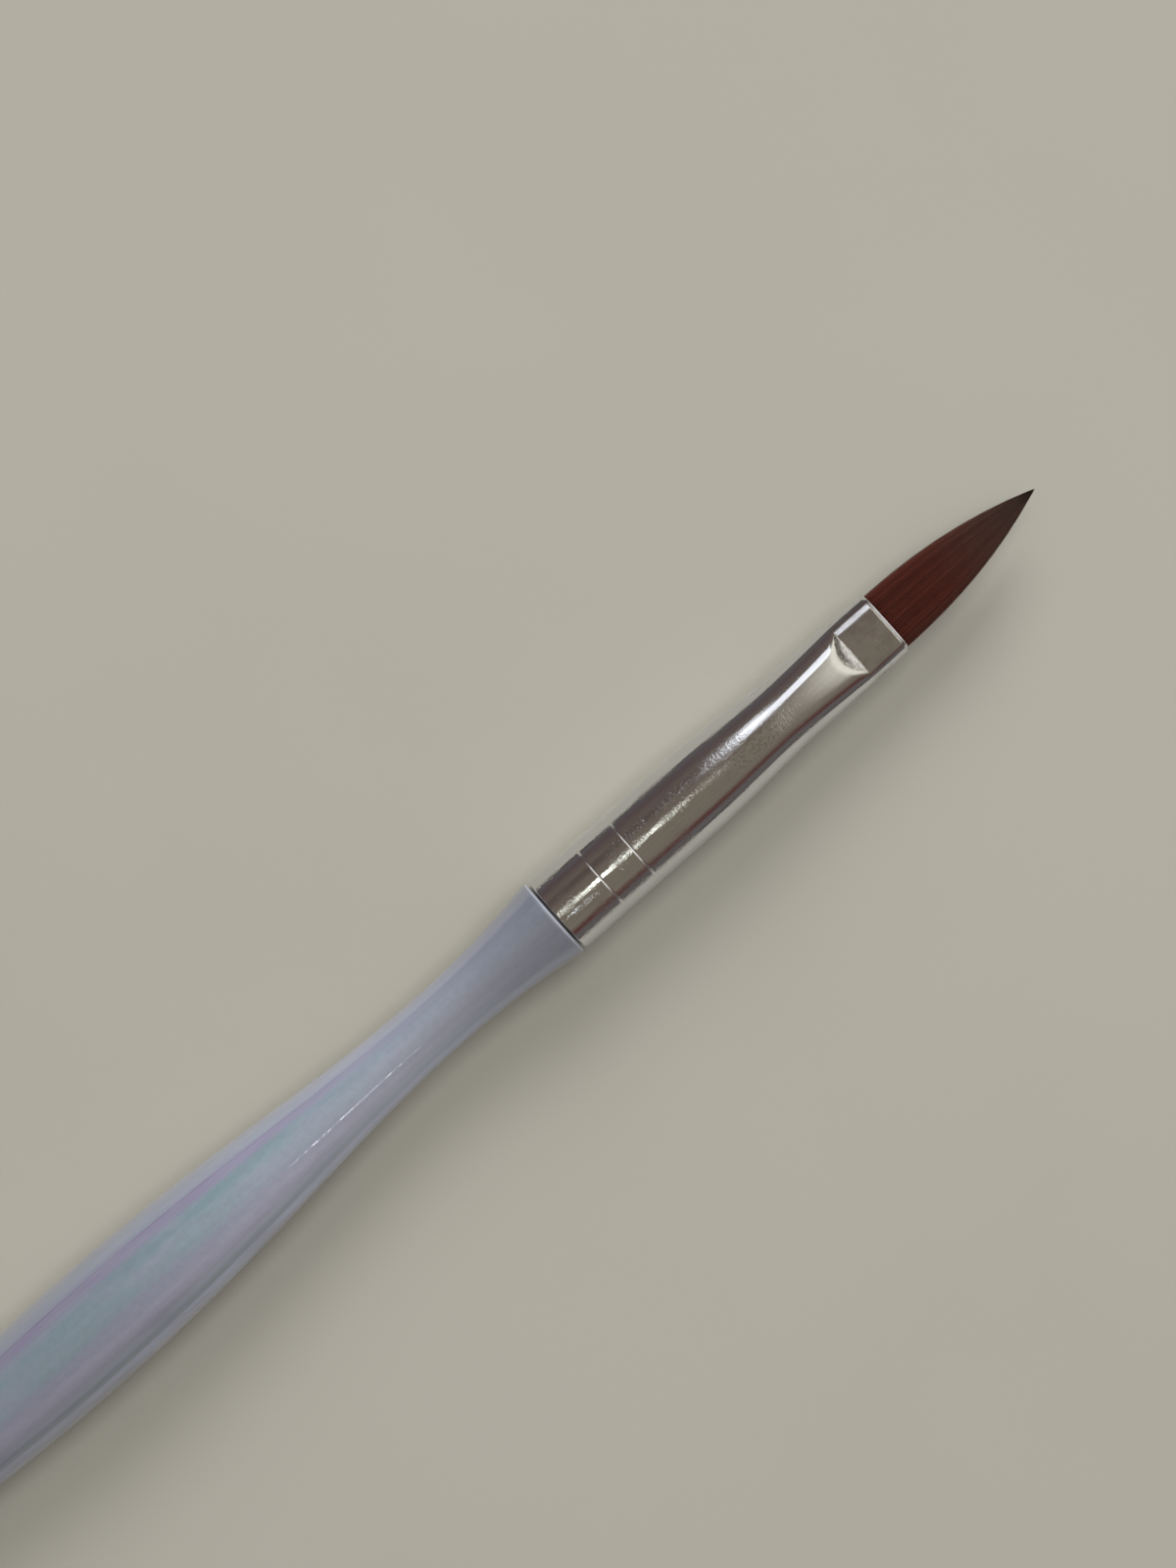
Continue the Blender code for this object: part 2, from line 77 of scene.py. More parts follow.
lens = bpy.data.cameras.new("photo_camera")
lens.sensor_fit = "VERTICAL"
lens.sensor_height = SENSOR
lens.lens = SENSOR * CAMERA_HEIGHT * PHOTO_SCALE / PHOTO_HEIGHT
lens.clip_start = 0.01
camera = bpy.data.objects.new("photo_camera", lens)
bpy.context.scene.collection.objects.link(camera)
camera.location = (shoulder + PHOTO_CENTRE[0], PHOTO_CENTRE[1], axis_height + CAMERA_HEIGHT)
camera.rotation_euler = (0.0, 0.0, -BRUSH_LEAN)
bpy.context.scene.camera = camera
bpy.context.scene.view_settings.view_transform = "Standard"
print(f"camera {CAMERA_HEIGHT * 1000:.0f} mm above the axis with a {lens.lens:.1f} mm lens")

# %% [markdown]
# ## Meshes from arrays
# Every new piece here is a surface with two parameters: one runs along the brush, the other round it. Numpy
# works out all points of such a grid at once, and `foreach_set` hands the whole array to Blender, which is
# much quicker than adding points one by one. The helpers below join a grid's points into faces, make an
# object of them, and measure what a closed piece encloses.

# %% Helpers for meshes
def ring_faces(rings, around, closed):
    """Quads between each ring of points and the next, and from the last point of a ring to its first."""
    ring = np.arange(rings if closed else rings - 1)[:, None]
    step = np.arange(around)[None, :]
    here = ring * around
    ahead = (ring + 1) % rings * around
    turn = (step + 1) % around
    corners = np.broadcast_arrays(here + step, here + turn, ahead + turn, ahead + step)
    return np.stack(corners, axis=-1).reshape(-1, 4)


def mesh_piece(name, points, *face_sets):
    """An object at the origin from an array of points and arrays of triangles or quads."""
    corners = np.concatenate([faces.ravel() for faces in face_sets]).astype(np.int32)
    sizes = np.concatenate([np.full(len(faces), faces.shape[1]) for faces in face_sets])
    starts = (np.cumsum(sizes) - sizes).astype(np.int32)
    mesh = bpy.data.meshes.new(name)
    mesh.vertices.add(len(points))
    mesh.vertices.foreach_set("co", points.astype(np.float32).ravel())
    mesh.loops.add(len(corners))
    mesh.loops.foreach_set("vertex_index", corners)
    mesh.polygons.add(len(sizes))
    mesh.polygons.foreach_set("loop_start", starts)
    mesh.update(calc_edges=True)
    mesh.validate()
    mesh.shade_smooth()
    made = bpy.data.objects.new(name, mesh)
    bpy.context.scene.collection.objects.link(made)
    return made


def enclosed(piece):
    """Volume inside a closed mesh: a sixth of the sum of the triple products of its triangles' corners."""
    piece.data.calc_loop_triangles()
    count = len(piece.data.loop_triangles)
    corners = np.empty(count * 3, np.int32)
    piece.data.loop_triangles.foreach_get("vertices", corners)
    points = np.empty(len(piece.data.vertices) * 3)
    piece.data.vertices.foreach_get("co", points)
    first, second, third = points.reshape(-1, 3)[corners.reshape(-1, 3)].transpose(1, 0, 2)
    volume = np.einsum("ij,ij->i", first, np.cross(second, third)).sum() / 6
    print(f"{piece.name}: {count} triangles enclose {volume * 1e9:.1f} cubic millimetres")


print("helpers ready for meshes")

# %% [markdown]
# ## Finishes from nodes
# A finish is a small network of shader nodes. Building one link at a time takes many lines, so these
# helpers add a node, set its fields and fill its inputs in one call: an input gets a link when it is handed
# a socket, and a plain value otherwise. Colours are written as a display shows them and turned into linear
# light.

# %% Helpers for shader nodes
def put(tree, kind, inputs=None, **settings):
    """A node with its settings, each input given as a value or as the socket that it is linked to."""
    made = tree.nodes.new(kind)
    for name, value in settings.items():
        setattr(made, name, value)
    for key, value in (inputs or {}).items():
        if isinstance(value, bpy.types.NodeSocket):
            tree.links.new(value, made.inputs[key])
        else:
            made.inputs[key].default_value = value
    return made


def sums(tree, operation, *values):
    """One step of arithmetic on sockets or numbers."""
    return put(tree, "ShaderNodeMath", dict(enumerate(values)), operation=operation).outputs[0]


def times(tree, first, *others):
    """Sockets or numbers multiplied in turn."""
    for other in others:
        first = sums(tree, "MULTIPLY", first, other)
    return first


def spread(tree, value, low, high, start=0.0, end=1.0):
    """A value from low to high, eased onto start to end and held there outside."""
    inputs = {"Value": value, "From Min": low, "From Max": high, "To Min": start, "To Max": end}
    return put(tree, "ShaderNodeMapRange", inputs, interpolation_type="SMOOTHSTEP").outputs[0]


def noise(tree, coords, scale, detail):
    """Smooth noise about one half, so many lumps to a metre, or so many along, across and up."""
    if isinstance(scale, tuple):
        coords = put(tree, "ShaderNodeMapping", {"Vector": coords, "Scale": scale}).outputs[0]
        scale = 1.0
    return put(tree, "ShaderNodeTexNoise", {"Vector": coords, "Scale": scale, "Detail": detail}).outputs[0]


def parted(tree, vector):
    """The X, Y and Z of a vector socket."""
    return put(tree, "ShaderNodeSeparateXYZ", {0: vector}).outputs


def tinted(tree, share, first, second, way="MIX"):
    """Two colours mixed by a share, or the second laid over the first in another way."""
    # a Mix node keeps its two colours at inputs 6 and 7 and the mixed one at output 2
    mixed = put(tree, "ShaderNodeMix", {0: share, 6: first, 7: second}, data_type="RGBA", blend_type=way)
    return mixed.outputs[2]


def dimmed(tree, colour, level):
    """A colour times one level of light."""
    grey = put(tree, "ShaderNodeCombineXYZ", {0: level, 1: level, 2: level}).outputs[0]
    return tinted(tree, 1.0, colour, grey, "MULTIPLY")


def toned(tree, share, stops, start, end):
    """A colour ramp over a share from 0 to 1, with stops of (place, colour) on a scale from start to end."""
    made = put(tree, "ShaderNodeValToRGB", {0: share})
    ramp = made.color_ramp.elements
    for stop, (place, colour) in zip((ramp[0], ramp[1]), (stops[0], stops[-1])):
        stop.position, stop.color = (place - start) / (end - start), colour
    for place, colour in stops[1:-1]:
        ramp.new((place - start) / (end - start)).color = colour
    return made.outputs[0]


def shown(red, green, blue):
    """Linear colour of a display colour from 0 to 255: the display's curve undone."""
    level = np.array([red, green, blue]) / 255.0
    linear = np.where(level <= 0.04045, level / 12.92, ((level + 0.055) / 1.055) ** 2.4)
    return (*linear.tolist(), 1.0)


def finish_of(name, constants):
    """A material, its shader with constants on its own sockets, and the Object coordinates of the piece."""
    made = bpy.data.materials.new(name)
    made.use_nodes = True
    tree = made.node_tree
    shader = tree.nodes["Principled BSDF"]
    for key, value in constants.items():
        shader.inputs[key].default_value = value
    return made, tree, shader, put(tree, "ShaderNodeTexCoord").outputs["Object"]


print("helpers ready for shader nodes")

# %% [markdown]
# ## Table
# The brush lies on its belly, the widest place of the handle. In the photo its shadow stays about as far
# from it all along, which tells that the axis is level, so the table is a level plane under the handle's
# lowest point. Far from the brush the table is given one even colour, so that low views show no edge
# between it and the room. Bright metal sees the table's far side at a grazing angle, where it looks dim, so
# the pale strips stay narrow.

# %% Lay the table
TABLE_HALF = 2.5
TABLE_COLOUR = shown(177, 174, 163)
TABLE_MOTTLE = shown(175, 172, 160)

corner = np.array([[-1, -1], [1, -1], [1, 1], [-1, 1]]) * TABLE_HALF
table_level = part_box("handle")[0].z
table = mesh_piece("table", np.column_stack([corner, np.full(4, table_level)]), np.array([[0, 1, 2, 3]]))
table_finish, tree, shader, coords = finish_of("pale_table", {"Roughness": 0.75, "Specular IOR Level": 0.25})
mottle = noise(tree, coords, 18.0, 4.0)
pale = tinted(tree, spread(tree, mottle, 0.3, 0.7), TABLE_MOTTLE, TABLE_COLOUR)
tree.links.new(pale, shader.inputs["Base Color"])
table.data.materials.append(table_finish)
print(f"table {2 * TABLE_HALF:.0f} m wide")

# %% The table from afar and in mirrors
TABLE_SHADE = shown(88, 80, 76)  # the table's far side as a mirror near the floor shows it
EVEN_FROM, EVEN_AT = 0.20, 0.70  # metres from the brush, where the even colour starts and is full
SHADE_FROM, SHADE_AT = 0.14, 0.10  # steepness of a mirrored ray, where the shade starts and is full

rays = put(tree, "ShaderNodeLightPath").outputs
looked_at = sums(tree, "MAXIMUM", rays["Is Camera Ray"], rays["Is Glossy Ray"])
away = put(tree, "ShaderNodeVectorMath", {0: coords}, operation="LENGTH").outputs["Value"]
far_off = times(tree, looked_at, spread(tree, away, EVEN_FROM, EVEN_AT))
glow = put(tree, "ShaderNodeEmission", {"Color": TABLE_COLOUR}).outputs[0]
seen = put(tree, "ShaderNodeMixShader", {0: far_off, 1: shader.outputs[0], 2: glow}).outputs[0]
sight = parted(tree, put(tree, "ShaderNodeNewGeometry").outputs["Incoming"])
grazing = times(tree, rays["Is Glossy Ray"], spread(tree, sight["Z"], SHADE_FROM, SHADE_AT))
shade = put(tree, "ShaderNodeEmission", {"Color": TABLE_SHADE}).outputs[0]
seen = put(tree, "ShaderNodeMixShader", {0: grazing, 1: seen, 2: shade}).outputs[0]
tree.links.new(seen, tree.nodes["Material Output"].inputs["Surface"])
print(f"one even colour from {EVEN_AT} m on")

# %% [markdown]
# ## Light
# The photo's light is a window beyond the brush's upper side, so the shadow falls softly below it. One wide
# area lamp stands for the window's light and one for the ceiling's. What bright metal mirrors is kept
# apart, as panels that only mirrors see, so they can be placed without changing the light. The window and
# its curtain are far off and show all along. The window's edge beside the pressed flat, the lamp's glint on
# the barrel and the thin line on the handle show on one stretch only, so their panels are small and near.

# %% Lamps and panels
FERRULE_AIM = 0.018  # metres from the shoulder to the places that the panels aim at
HANDLE_AIM = -0.0216

ferrule_middle = Vector((shoulder + FERRULE_AIM, 0.0, axis_height))
waist_end = Vector((shoulder + HANDLE_AIM, 0.0, axis_height))


def panel(name, way, far, size, strength, colour, seen_by, along=(0.0, 1.0, 0.0), aim=ferrule_middle):
    """An area lamp of a given radiance, so far one way from where it aims, its height along a direction."""
    lamp = bpy.data.lights.new(name, "AREA")
    lamp.shape = "RECTANGLE"
    lamp.size, lamp.size_y = size
    lamp.energy = strength * math.pi * size[0] * size[1]
    lamp.color = colour
    made = bpy.data.objects.new(name, lamp)
    bpy.context.scene.collection.objects.link(made)
    facing = Vector(way).normalized()
    made.location = aim + far * facing
    across = Vector(along).cross(facing).normalized()
    made.rotation_euler = Matrix((across, facing.cross(across), facing)).transposed().to_euler()
    made.visible_diffuse = seen_by == "all matter"
    made.visible_glossy = seen_by == "mirrors"
    made.visible_camera = False


DAYLIGHT = (1.0, 0.99, 0.98)
SKYLIGHT = (0.94, 0.97, 1.0)
CURTAIN_LIGHT = (0.94, 0.95, 1.0)
LAMP_LIGHT = (0.97, 1.0, 0.88)
HANDLE_GLINT = (0.86, 0.97, 1.0)
WINDOW_WAY = (0.70, 0.95, 0.82)
CEILING_WAY = (0.25, 0.05, 1.0)
WINDOW_HEIGHT = (0.469, -0.722, 0.509)  # the way up in the window, square to the sight of it
EDGE_HEIGHT = (0.0, -0.815, 0.571)  # and in its bright edge
# name, lean along the brush, width and radiance: a faint line and its bright core
HANDLE_PANELS = (("handle_sight", 0.008, 0.0070, 2.6), ("handle_core", 0.017, 0.0040, 6.5))

panel("window_light", WINDOW_WAY, 1.45, (0.75, 0.65), 7.7, DAYLIGHT, "all matter")
panel("ceiling_light", CEILING_WAY, 1.05, (0.55, 0.55), 5.5, DAYLIGHT, "all matter")
panel("window_sight", (0.31, 0.548, 0.777), 1.1, (0.30, 0.29), 1.05, SKYLIGHT, "mirrors", WINDOW_HEIGHT)
panel("curtain_sight", (0.16, 0.43, 0.888), 1.1, (0.08, 0.24), 0.39, CURTAIN_LIGHT, "mirrors", WINDOW_HEIGHT)
panel("edge_sight", (0.027, 0.070, 0.099), 0.125, (0.008, 0.060), 1.0, SKYLIGHT, "mirrors", EDGE_HEIGHT)
panel("lamp_sight", (-0.081, -0.030, 1.0), 0.20, (0.0172, 0.0325), 1.7, LAMP_LIGHT, "mirrors")
for name, lean, width, strength in HANDLE_PANELS:
    way = (lean, -0.399, 0.917)
    panel(name, way, 0.164, (width, 0.011), strength, HANDLE_GLINT, "mirrors", aim=waist_end)

# %% [markdown]
# ## Room
# The world is the room. A camera that looks past the table sees a pale wall, and soft light comes mostly
# from above. Bright metal sees the dim room in tones that change from one side to the other, a bright patch
# above the hair's end, which shows on the sloping neck, and a brighter one beyond it, which shows on the
# crescent and the lip. Light that the metal throws on the table is found by rays that have met the table
# first, and these see the window itself. Light Path tells the rays apart.

# %% The room that bright metal sees
# degrees over the brush from its lower side to its upper, and the tone there
ROOM_TONES = [(-90, (0.113, 0.103, 0.097, 1)), (-80, (0.126, 0.116, 0.109, 1)),
              (-67, (0.096, 0.036, 0.030, 1)), (-54, (0.187, 0.159, 0.122, 1)),
              (-5, (0.201, 0.168, 0.126, 1)), (20, (0.157, 0.125, 0.101, 1)), (36, (0.100, 0.073, 0.061, 1)),
              (48, (0.140, 0.108, 0.088, 1)), (72, (0.100, 0.071, 0.069, 1)), (90, (0.113, 0.103, 0.105, 1))]
ABOVE_END = (0.915, 0.861, 0.723, 1)
BEYOND_END = (1.35, 1.33, 1.28, 1)

world = bpy.data.worlds.new("room")
world.use_nodes = True
bpy.context.scene.world = world
tree = world.node_tree
tree.nodes.clear()
bearing = put(tree, "ShaderNodeTexCoord").outputs["Generated"]
toward = parted(tree, bearing)
over = sums(tree, "MULTIPLY_ADD", sums(tree, "ARCTAN2", toward["Y"], toward["Z"]), 1 / math.pi, 0.5)
room = toned(tree, over, ROOM_TONES, -90, 90)
above = times(tree, spread(tree, toward["X"], 0.25, 0.50), spread(tree, toward["X"], 0.74, 0.60),
              spread(tree, toward["Y"], -0.74, -0.52), spread(tree, toward["Y"], 0.60, 0.40))
beyond = times(tree, spread(tree, toward["X"], 0.70, 0.92),
               spread(tree, sums(tree, "ABSOLUTE", toward["Y"]), 0.80, 0.62))
room = tinted(tree, above, room, ABOVE_END)
room = tinted(tree, beyond, room, BEYOND_END)
print(f"room tones: {len(ROOM_TONES)} stops over the brush")

# %% The room's soft light, and which ray sees what
SOFT_LOW, SOFT_HIGH = 0.14, 0.352  # radiance from the side and from above
CAST_LOW, CAST_HIGH = 0.2, 10.0  # radiance that the metal throws on, beside and in the window
WINDOW_RIM, WINDOW_FACE = 0.940, 0.985  # cosines of the angle from the window's middle

upward = sums(tree, "MULTIPLY_ADD", toward["Y"], 0.5, times(tree, toward["Z"], 0.85))
soft = spread(tree, upward, 0.0, 0.9, SOFT_LOW, SOFT_HIGH)
window_middle = Vector(WINDOW_WAY).normalized()
facing = put(tree, "ShaderNodeVectorMath", {0: bearing, 1: window_middle}, operation="DOT_PRODUCT")
cast = spread(tree, facing.outputs["Value"], WINDOW_RIM, WINDOW_FACE, CAST_LOW, CAST_HIGH)
cast = sums(tree, "ADD", soft, cast)
soft_light = put(tree, "ShaderNodeBackground", {"Color": (*DAYLIGHT, 1), "Strength": soft}).outputs[0]
cast_light = put(tree, "ShaderNodeBackground", {"Color": (*DAYLIGHT, 1), "Strength": cast}).outputs[0]
dim_room = put(tree, "ShaderNodeBackground", {"Color": room}).outputs[0]
pale_wall = put(tree, "ShaderNodeBackground", {"Color": TABLE_COLOUR}).outputs[0]
rays = put(tree, "ShaderNodeLightPath").outputs
after_matter = sums(tree, "GREATER_THAN", rays["Diffuse Depth"], 0.5)
sent_on = put(tree, "ShaderNodeMixShader", {0: after_matter, 1: dim_room, 2: cast_light}).outputs[0]
mirrored = put(tree, "ShaderNodeMixShader", {0: rays["Is Glossy Ray"], 1: soft_light, 2: sent_on}).outputs[0]
looked_at = put(tree, "ShaderNodeMixShader", {0: rays["Is Camera Ray"], 1: mirrored, 2: pale_wall}).outputs[0]
put(tree, "ShaderNodeOutputWorld", {"Surface": looked_at})
print(f"room light from {SOFT_LOW} at the side to {SOFT_HIGH} above")

# %% [markdown]
# ## Handle: form
# The handle was turned on a lathe in one piece with the spigot that sits inside the ferrule. Blender's
# Screw modifier could turn a profile too, but the finish mirrors its surroundings, and coarse facets would
# show. So the profile is sampled finely, and each of its points is carried round the axis as a row of the
# grid. The grip is three Bezier stretches that are level at the waist and at the belly, as in the CAD
# model.

# %% The handle's profile
FERRULE_DIAMETER = 0.0070
FERRULE_WALL = 0.00026
SPIGOT_LENGTH = 0.0105
SPIGOT_CHAMFER = 0.0010
SPIGOT_CLEARANCE = 0.0001
SPIGOT_RADIUS = FERRULE_DIAMETER / 2 - FERRULE_WALL - SPIGOT_CLEARANCE
RIM_PROUD = 0.00012  # how far the handle's rim stands out past the ferrule
RIM_RADIUS = FERRULE_DIAMETER / 2 + RIM_PROUD
RIM_ROUNDING = 0.00035
HANDLE_LENGTH = 0.1240
WAIST_PLACE, WAIST_RADIUS = 0.0128, 0.00264  # places are metres behind the shoulder
BELLY_PLACE, BELLY_RADIUS = 0.0510, 0.00478
TAIL_RADIUS = 0.0019
FLARE_PULL, FLARE_SLOPE = 0.0040, 0.15  # a pull is how far a Bezier's inner knot lies from its end
WAIST_PULL_FRONT, WAIST_PULL_BACK = 0.0050, 0.0120
BELLY_PULL_FRONT, BELLY_PULL_BACK = 0.0180, 0.0140
TAIL_PULL, TAIL_SLOPE = 0.0400, 0.012
ROLL_PLACES = np.array([0.0048, 0.0082])
ROLL_WIDTH = 0.00022
ROLL_DEPTH = 0.00006


def bezier(knots, count):
    """Points of a cubic Bezier: its four knots weighted by the powers of the share and of what is left."""
    share = np.linspace(0.0, 1.0, count)[:, None]
    left = 1.0 - share
    start, leave, arrive, end = np.array(knots)
    outer = left ** 3 * start + 3 * left ** 2 * share * leave
    return outer + 3 * left * share ** 2 * arrive + share ** 3 * end


def quarter(middle, radius, start, end, count):
    """Points of a circle's arc about a middle, between two angles that are measured from the axis."""
    turn = np.linspace(start, end, count)
    return np.column_stack([middle[0] + radius * np.cos(turn), middle[1] + radius * np.sin(turn)])


def handle_profile():
    """Rows of (along, radius): spigot from its nose, rounded rim, flare, waist, belly, tail and round end."""
    reach = ROLL_WIDTH / 2 + FERRULE_WALL + SPIGOT_CLEARANCE
    offsets = np.array([reach, ROLL_WIDTH / 2, -ROLL_WIDTH / 2, -reach])
    hollow = np.column_stack([(ROLL_PLACES[::-1, None] + offsets).ravel(),
                              np.tile(SPIGOT_RADIUS - ROLL_DEPTH * np.array([0, 1, 1, 0]), len(ROLL_PLACES))])
    nose = np.array([[SPIGOT_LENGTH, SPIGOT_RADIUS - SPIGOT_CHAMFER],
                     [SPIGOT_LENGTH - SPIGOT_CHAMFER, SPIGOT_RADIUS]])
    seat = np.array([[0.0, SPIGOT_RADIUS]])
    rim = quarter((-RIM_ROUNDING, RIM_RADIUS - RIM_ROUNDING), RIM_ROUNDING, 0.0, math.pi / 2, 12)
    tail_start = HANDLE_LENGTH - TAIL_RADIUS
    flare = bezier([(-RIM_ROUNDING, RIM_RADIUS), (-FLARE_PULL, RIM_RADIUS - FLARE_PULL * FLARE_SLOPE),
                    (-WAIST_PLACE + WAIST_PULL_FRONT, WAIST_RADIUS), (-WAIST_PLACE, WAIST_RADIUS)], 50)
    swell = bezier([(-WAIST_PLACE, WAIST_RADIUS), (-WAIST_PLACE - WAIST_PULL_BACK, WAIST_RADIUS),
                    (-BELLY_PLACE + BELLY_PULL_FRONT, BELLY_RADIUS), (-BELLY_PLACE, BELLY_RADIUS)], 80)
    taper = bezier([(-BELLY_PLACE, BELLY_RADIUS), (-BELLY_PLACE - BELLY_PULL_BACK, BELLY_RADIUS),
                    (-tail_start + TAIL_PULL, TAIL_RADIUS + TAIL_PULL * TAIL_SLOPE),
                    (-tail_start, TAIL_RADIUS)], 100)
    tip = quarter((-tail_start, 0.0), TAIL_RADIUS, math.pi / 2, math.pi, 16)
    return np.concatenate([nose, hollow, seat, rim, flare[1:], swell[1:], taper[1:], tip[1:-1]])


profile = handle_profile()
print(f"handle profile: {len(profile)} points, {profile[:, 1].max() * 2000:.2f} mm at the belly")

# %% Turn the handle
HANDLE_AROUND = 192
SHARP_FROM = math.radians(35.0)  # edges that turn more than this are shaded as edges


def turned(profile, around):
    """Points round X: along stays, and the radius goes to Y and Z by the cosine and sine of the turn."""
    turn = np.arange(around) * 2 * math.pi / around
    along, radius = profile[:, 0, None], profile[:, 1, None]
    grid = np.stack(np.broadcast_arrays(along, radius * np.cos(turn), radius * np.sin(turn)), axis=-1)
    return grid.reshape(-1, 3) + (shoulder, 0.0, axis_height)


def fan(centre, start, around, outward):
    """Triangles from one centre point to a ring of points, turned to face outwards."""
    step = np.arange(around)
    ring, ahead = start + step, start + (step + 1) % around
    order = (ahead, ring) if outward else (ring, ahead)
    return np.column_stack([np.full(around, centre), *order])


poles = np.array([[SPIGOT_LENGTH, 0.0, 0.0], [-HANDLE_LENGTH, 0.0, 0.0]]) + (shoulder, 0.0, axis_height)
last_ring = (len(profile) - 1) * HANDLE_AROUND
points = np.concatenate([turned(profile, HANDLE_AROUND), poles])
caps = [fan(len(points) - 2, 0, HANDLE_AROUND, False), fan(len(points) - 1, last_ring, HANDLE_AROUND, True)]
sides = ring_faces(len(profile), HANDLE_AROUND, False)[:, ::-1]
pearl_handle = mesh_piece("pearl_handle", points, sides, *caps)
pearl_handle.data.set_sharp_from_angle(angle=SHARP_FROM)
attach(pearl_handle, "root")
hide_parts("handle")
enclosed(pearl_handle)

# %% [markdown]
# ## Effects that two finishes share
# The handle and the ferrule both carry fine lengthwise streaks, from turning and from drawing, and both
# have been handled. Each effect is a node group with named inputs, built once. The streaks are noise on
# coordinates that are squeezed along the brush, and the marks are the crests of two such noises that cross
# at a slant.

# %% Node groups for streaks and marks
def new_group(name, inputs, outputs):
    """An empty shader node group with named sockets, and its entry and exit nodes."""
    group = bpy.data.node_groups.new(name, "ShaderNodeTree")
    for label, kind in inputs:
        group.interface.new_socket(label, in_out="INPUT", socket_type=kind)
    for label in outputs:
        group.interface.new_socket(label, in_out="OUTPUT", socket_type="NodeSocketFloat")
    return group, group.nodes.new("NodeGroupInput").outputs, group.nodes.new("NodeGroupOutput").inputs


GROUP_INPUTS = [("Coordinates", "NodeSocketVector"), ("Fineness", "NodeSocketFloat")]
STREAK_SQUEEZE = 0.03  # fineness along a streak, as a share of that across it
SCRATCH_SQUEEZE = 0.06
SCRATCH_SLANTS = (0.6, -0.9)  # radians
SMUDGE_FINENESS = 0.12  # as a share of the scratches' fineness

streaks, entry, leaving = new_group("lengthwise_streaks", GROUP_INPUTS, ["Streak"])
along = times(streaks, entry["Fineness"], STREAK_SQUEEZE)
across = entry["Fineness"]
stretch = put(streaks, "ShaderNodeCombineXYZ", {0: along, 1: across, 2: across}).outputs[0]
drawn = put(streaks, "ShaderNodeVectorMath", {0: entry["Coordinates"], 1: stretch}, operation="MULTIPLY")
lines = put(streaks, "ShaderNodeTexNoise", {
    "Vector": drawn.outputs[0], "Scale": 1.0, "Detail": 4.0, "Roughness": 0.6})
streaks.links.new(lines.outputs[0], leaving["Streak"])

marks, entry, leaving = new_group("handling_marks", GROUP_INPUTS, ["Scratches", "Smudges"])
crests = []
for slant in SCRATCH_SLANTS:
    leaned = put(marks, "ShaderNodeMapping", {"Vector": entry["Coordinates"], "Rotation": (slant, 0.3, slant),
                                              "Scale": (SCRATCH_SQUEEZE, 1.0, 1.0)}).outputs[0]
    scratch = noise(marks, leaned, entry["Fineness"], 2.0)
    crests.append(spread(marks, scratch, 0.70, 0.76))
marks.links.new(sums(marks, "MAXIMUM", *crests), leaving["Scratches"])
patch = times(marks, entry["Fineness"], SMUDGE_FINENESS)
smudge = noise(marks, entry["Coordinates"], patch, 3.0)
marks.links.new(spread(marks, smudge, 0.42, 0.68), leaving["Smudges"])
print("node groups:", ", ".join(group.name for group in bpy.data.node_groups))


def effect(tree, group, coords, fineness):
    """The outputs of a shared effect, placed in a material with its own fineness."""
    inputs = {"Coordinates": coords, "Fineness": fineness}
    return put(tree, "ShaderNodeGroup", inputs, node_tree=group).outputs


# %% [markdown]
# ## Handle: finish
# The handle has a pearl lacquer under a clear gloss coat. Its bands of teal, lavender and rose run
# lengthwise and follow the turn of the surface, so the colour is chosen by the angle round the axis, from
# the arctangent of the two cross coordinates, and fades to plain lavender grey towards the waist. The bands
# are partly the pearl's colour and partly its sheen, painted fixed. The pale strips along both sides are
# painted reflections of the table, with a painted line at their edge, and the underside is painted lighter
# against its shade. Painted shading makes the handle darker at the shoulder and the belly, a painted
# highlight runs round the rim's edge, and the bare spigot is painted dark for the shade in the gap. The
# coat thins in flecks along the crown, which breaks up the highlight. Thin-film settings could give such
# colours as well, but they change with the light, and these should stay on the handle.

# %% Pearl colours round the handle, painted reflections and a painted lighter underside
PEARL_TEAL = shown(138, 153, 163)
PEARL_DEEP = shown(128, 148, 157)
PEARL_BLUE = shown(149, 156, 171)
PEARL_LAVENDER = shown(152, 153, 171)
PEARL_ROSE = shown(167, 166, 183)
PEARL_MAUVE = shown(146, 142, 166)
PEARL_GREY = shown(150, 151, 163)
PEARL_PAINTED_LIGHTER_UNDERSIDE = shown(173, 178, 190)
PEARL_PAINTED_REFLECTION_UP = shown(161, 164, 180)
PEARL_PAINTED_EDGE_LINE_UP = shown(132, 116, 150)
PEARL_PAINTED_EDGE_LINE_DOWN = shown(148, 158, 165)
PEARL_PAINTED_REFLECTION_DOWN = shown(183, 188, 212)
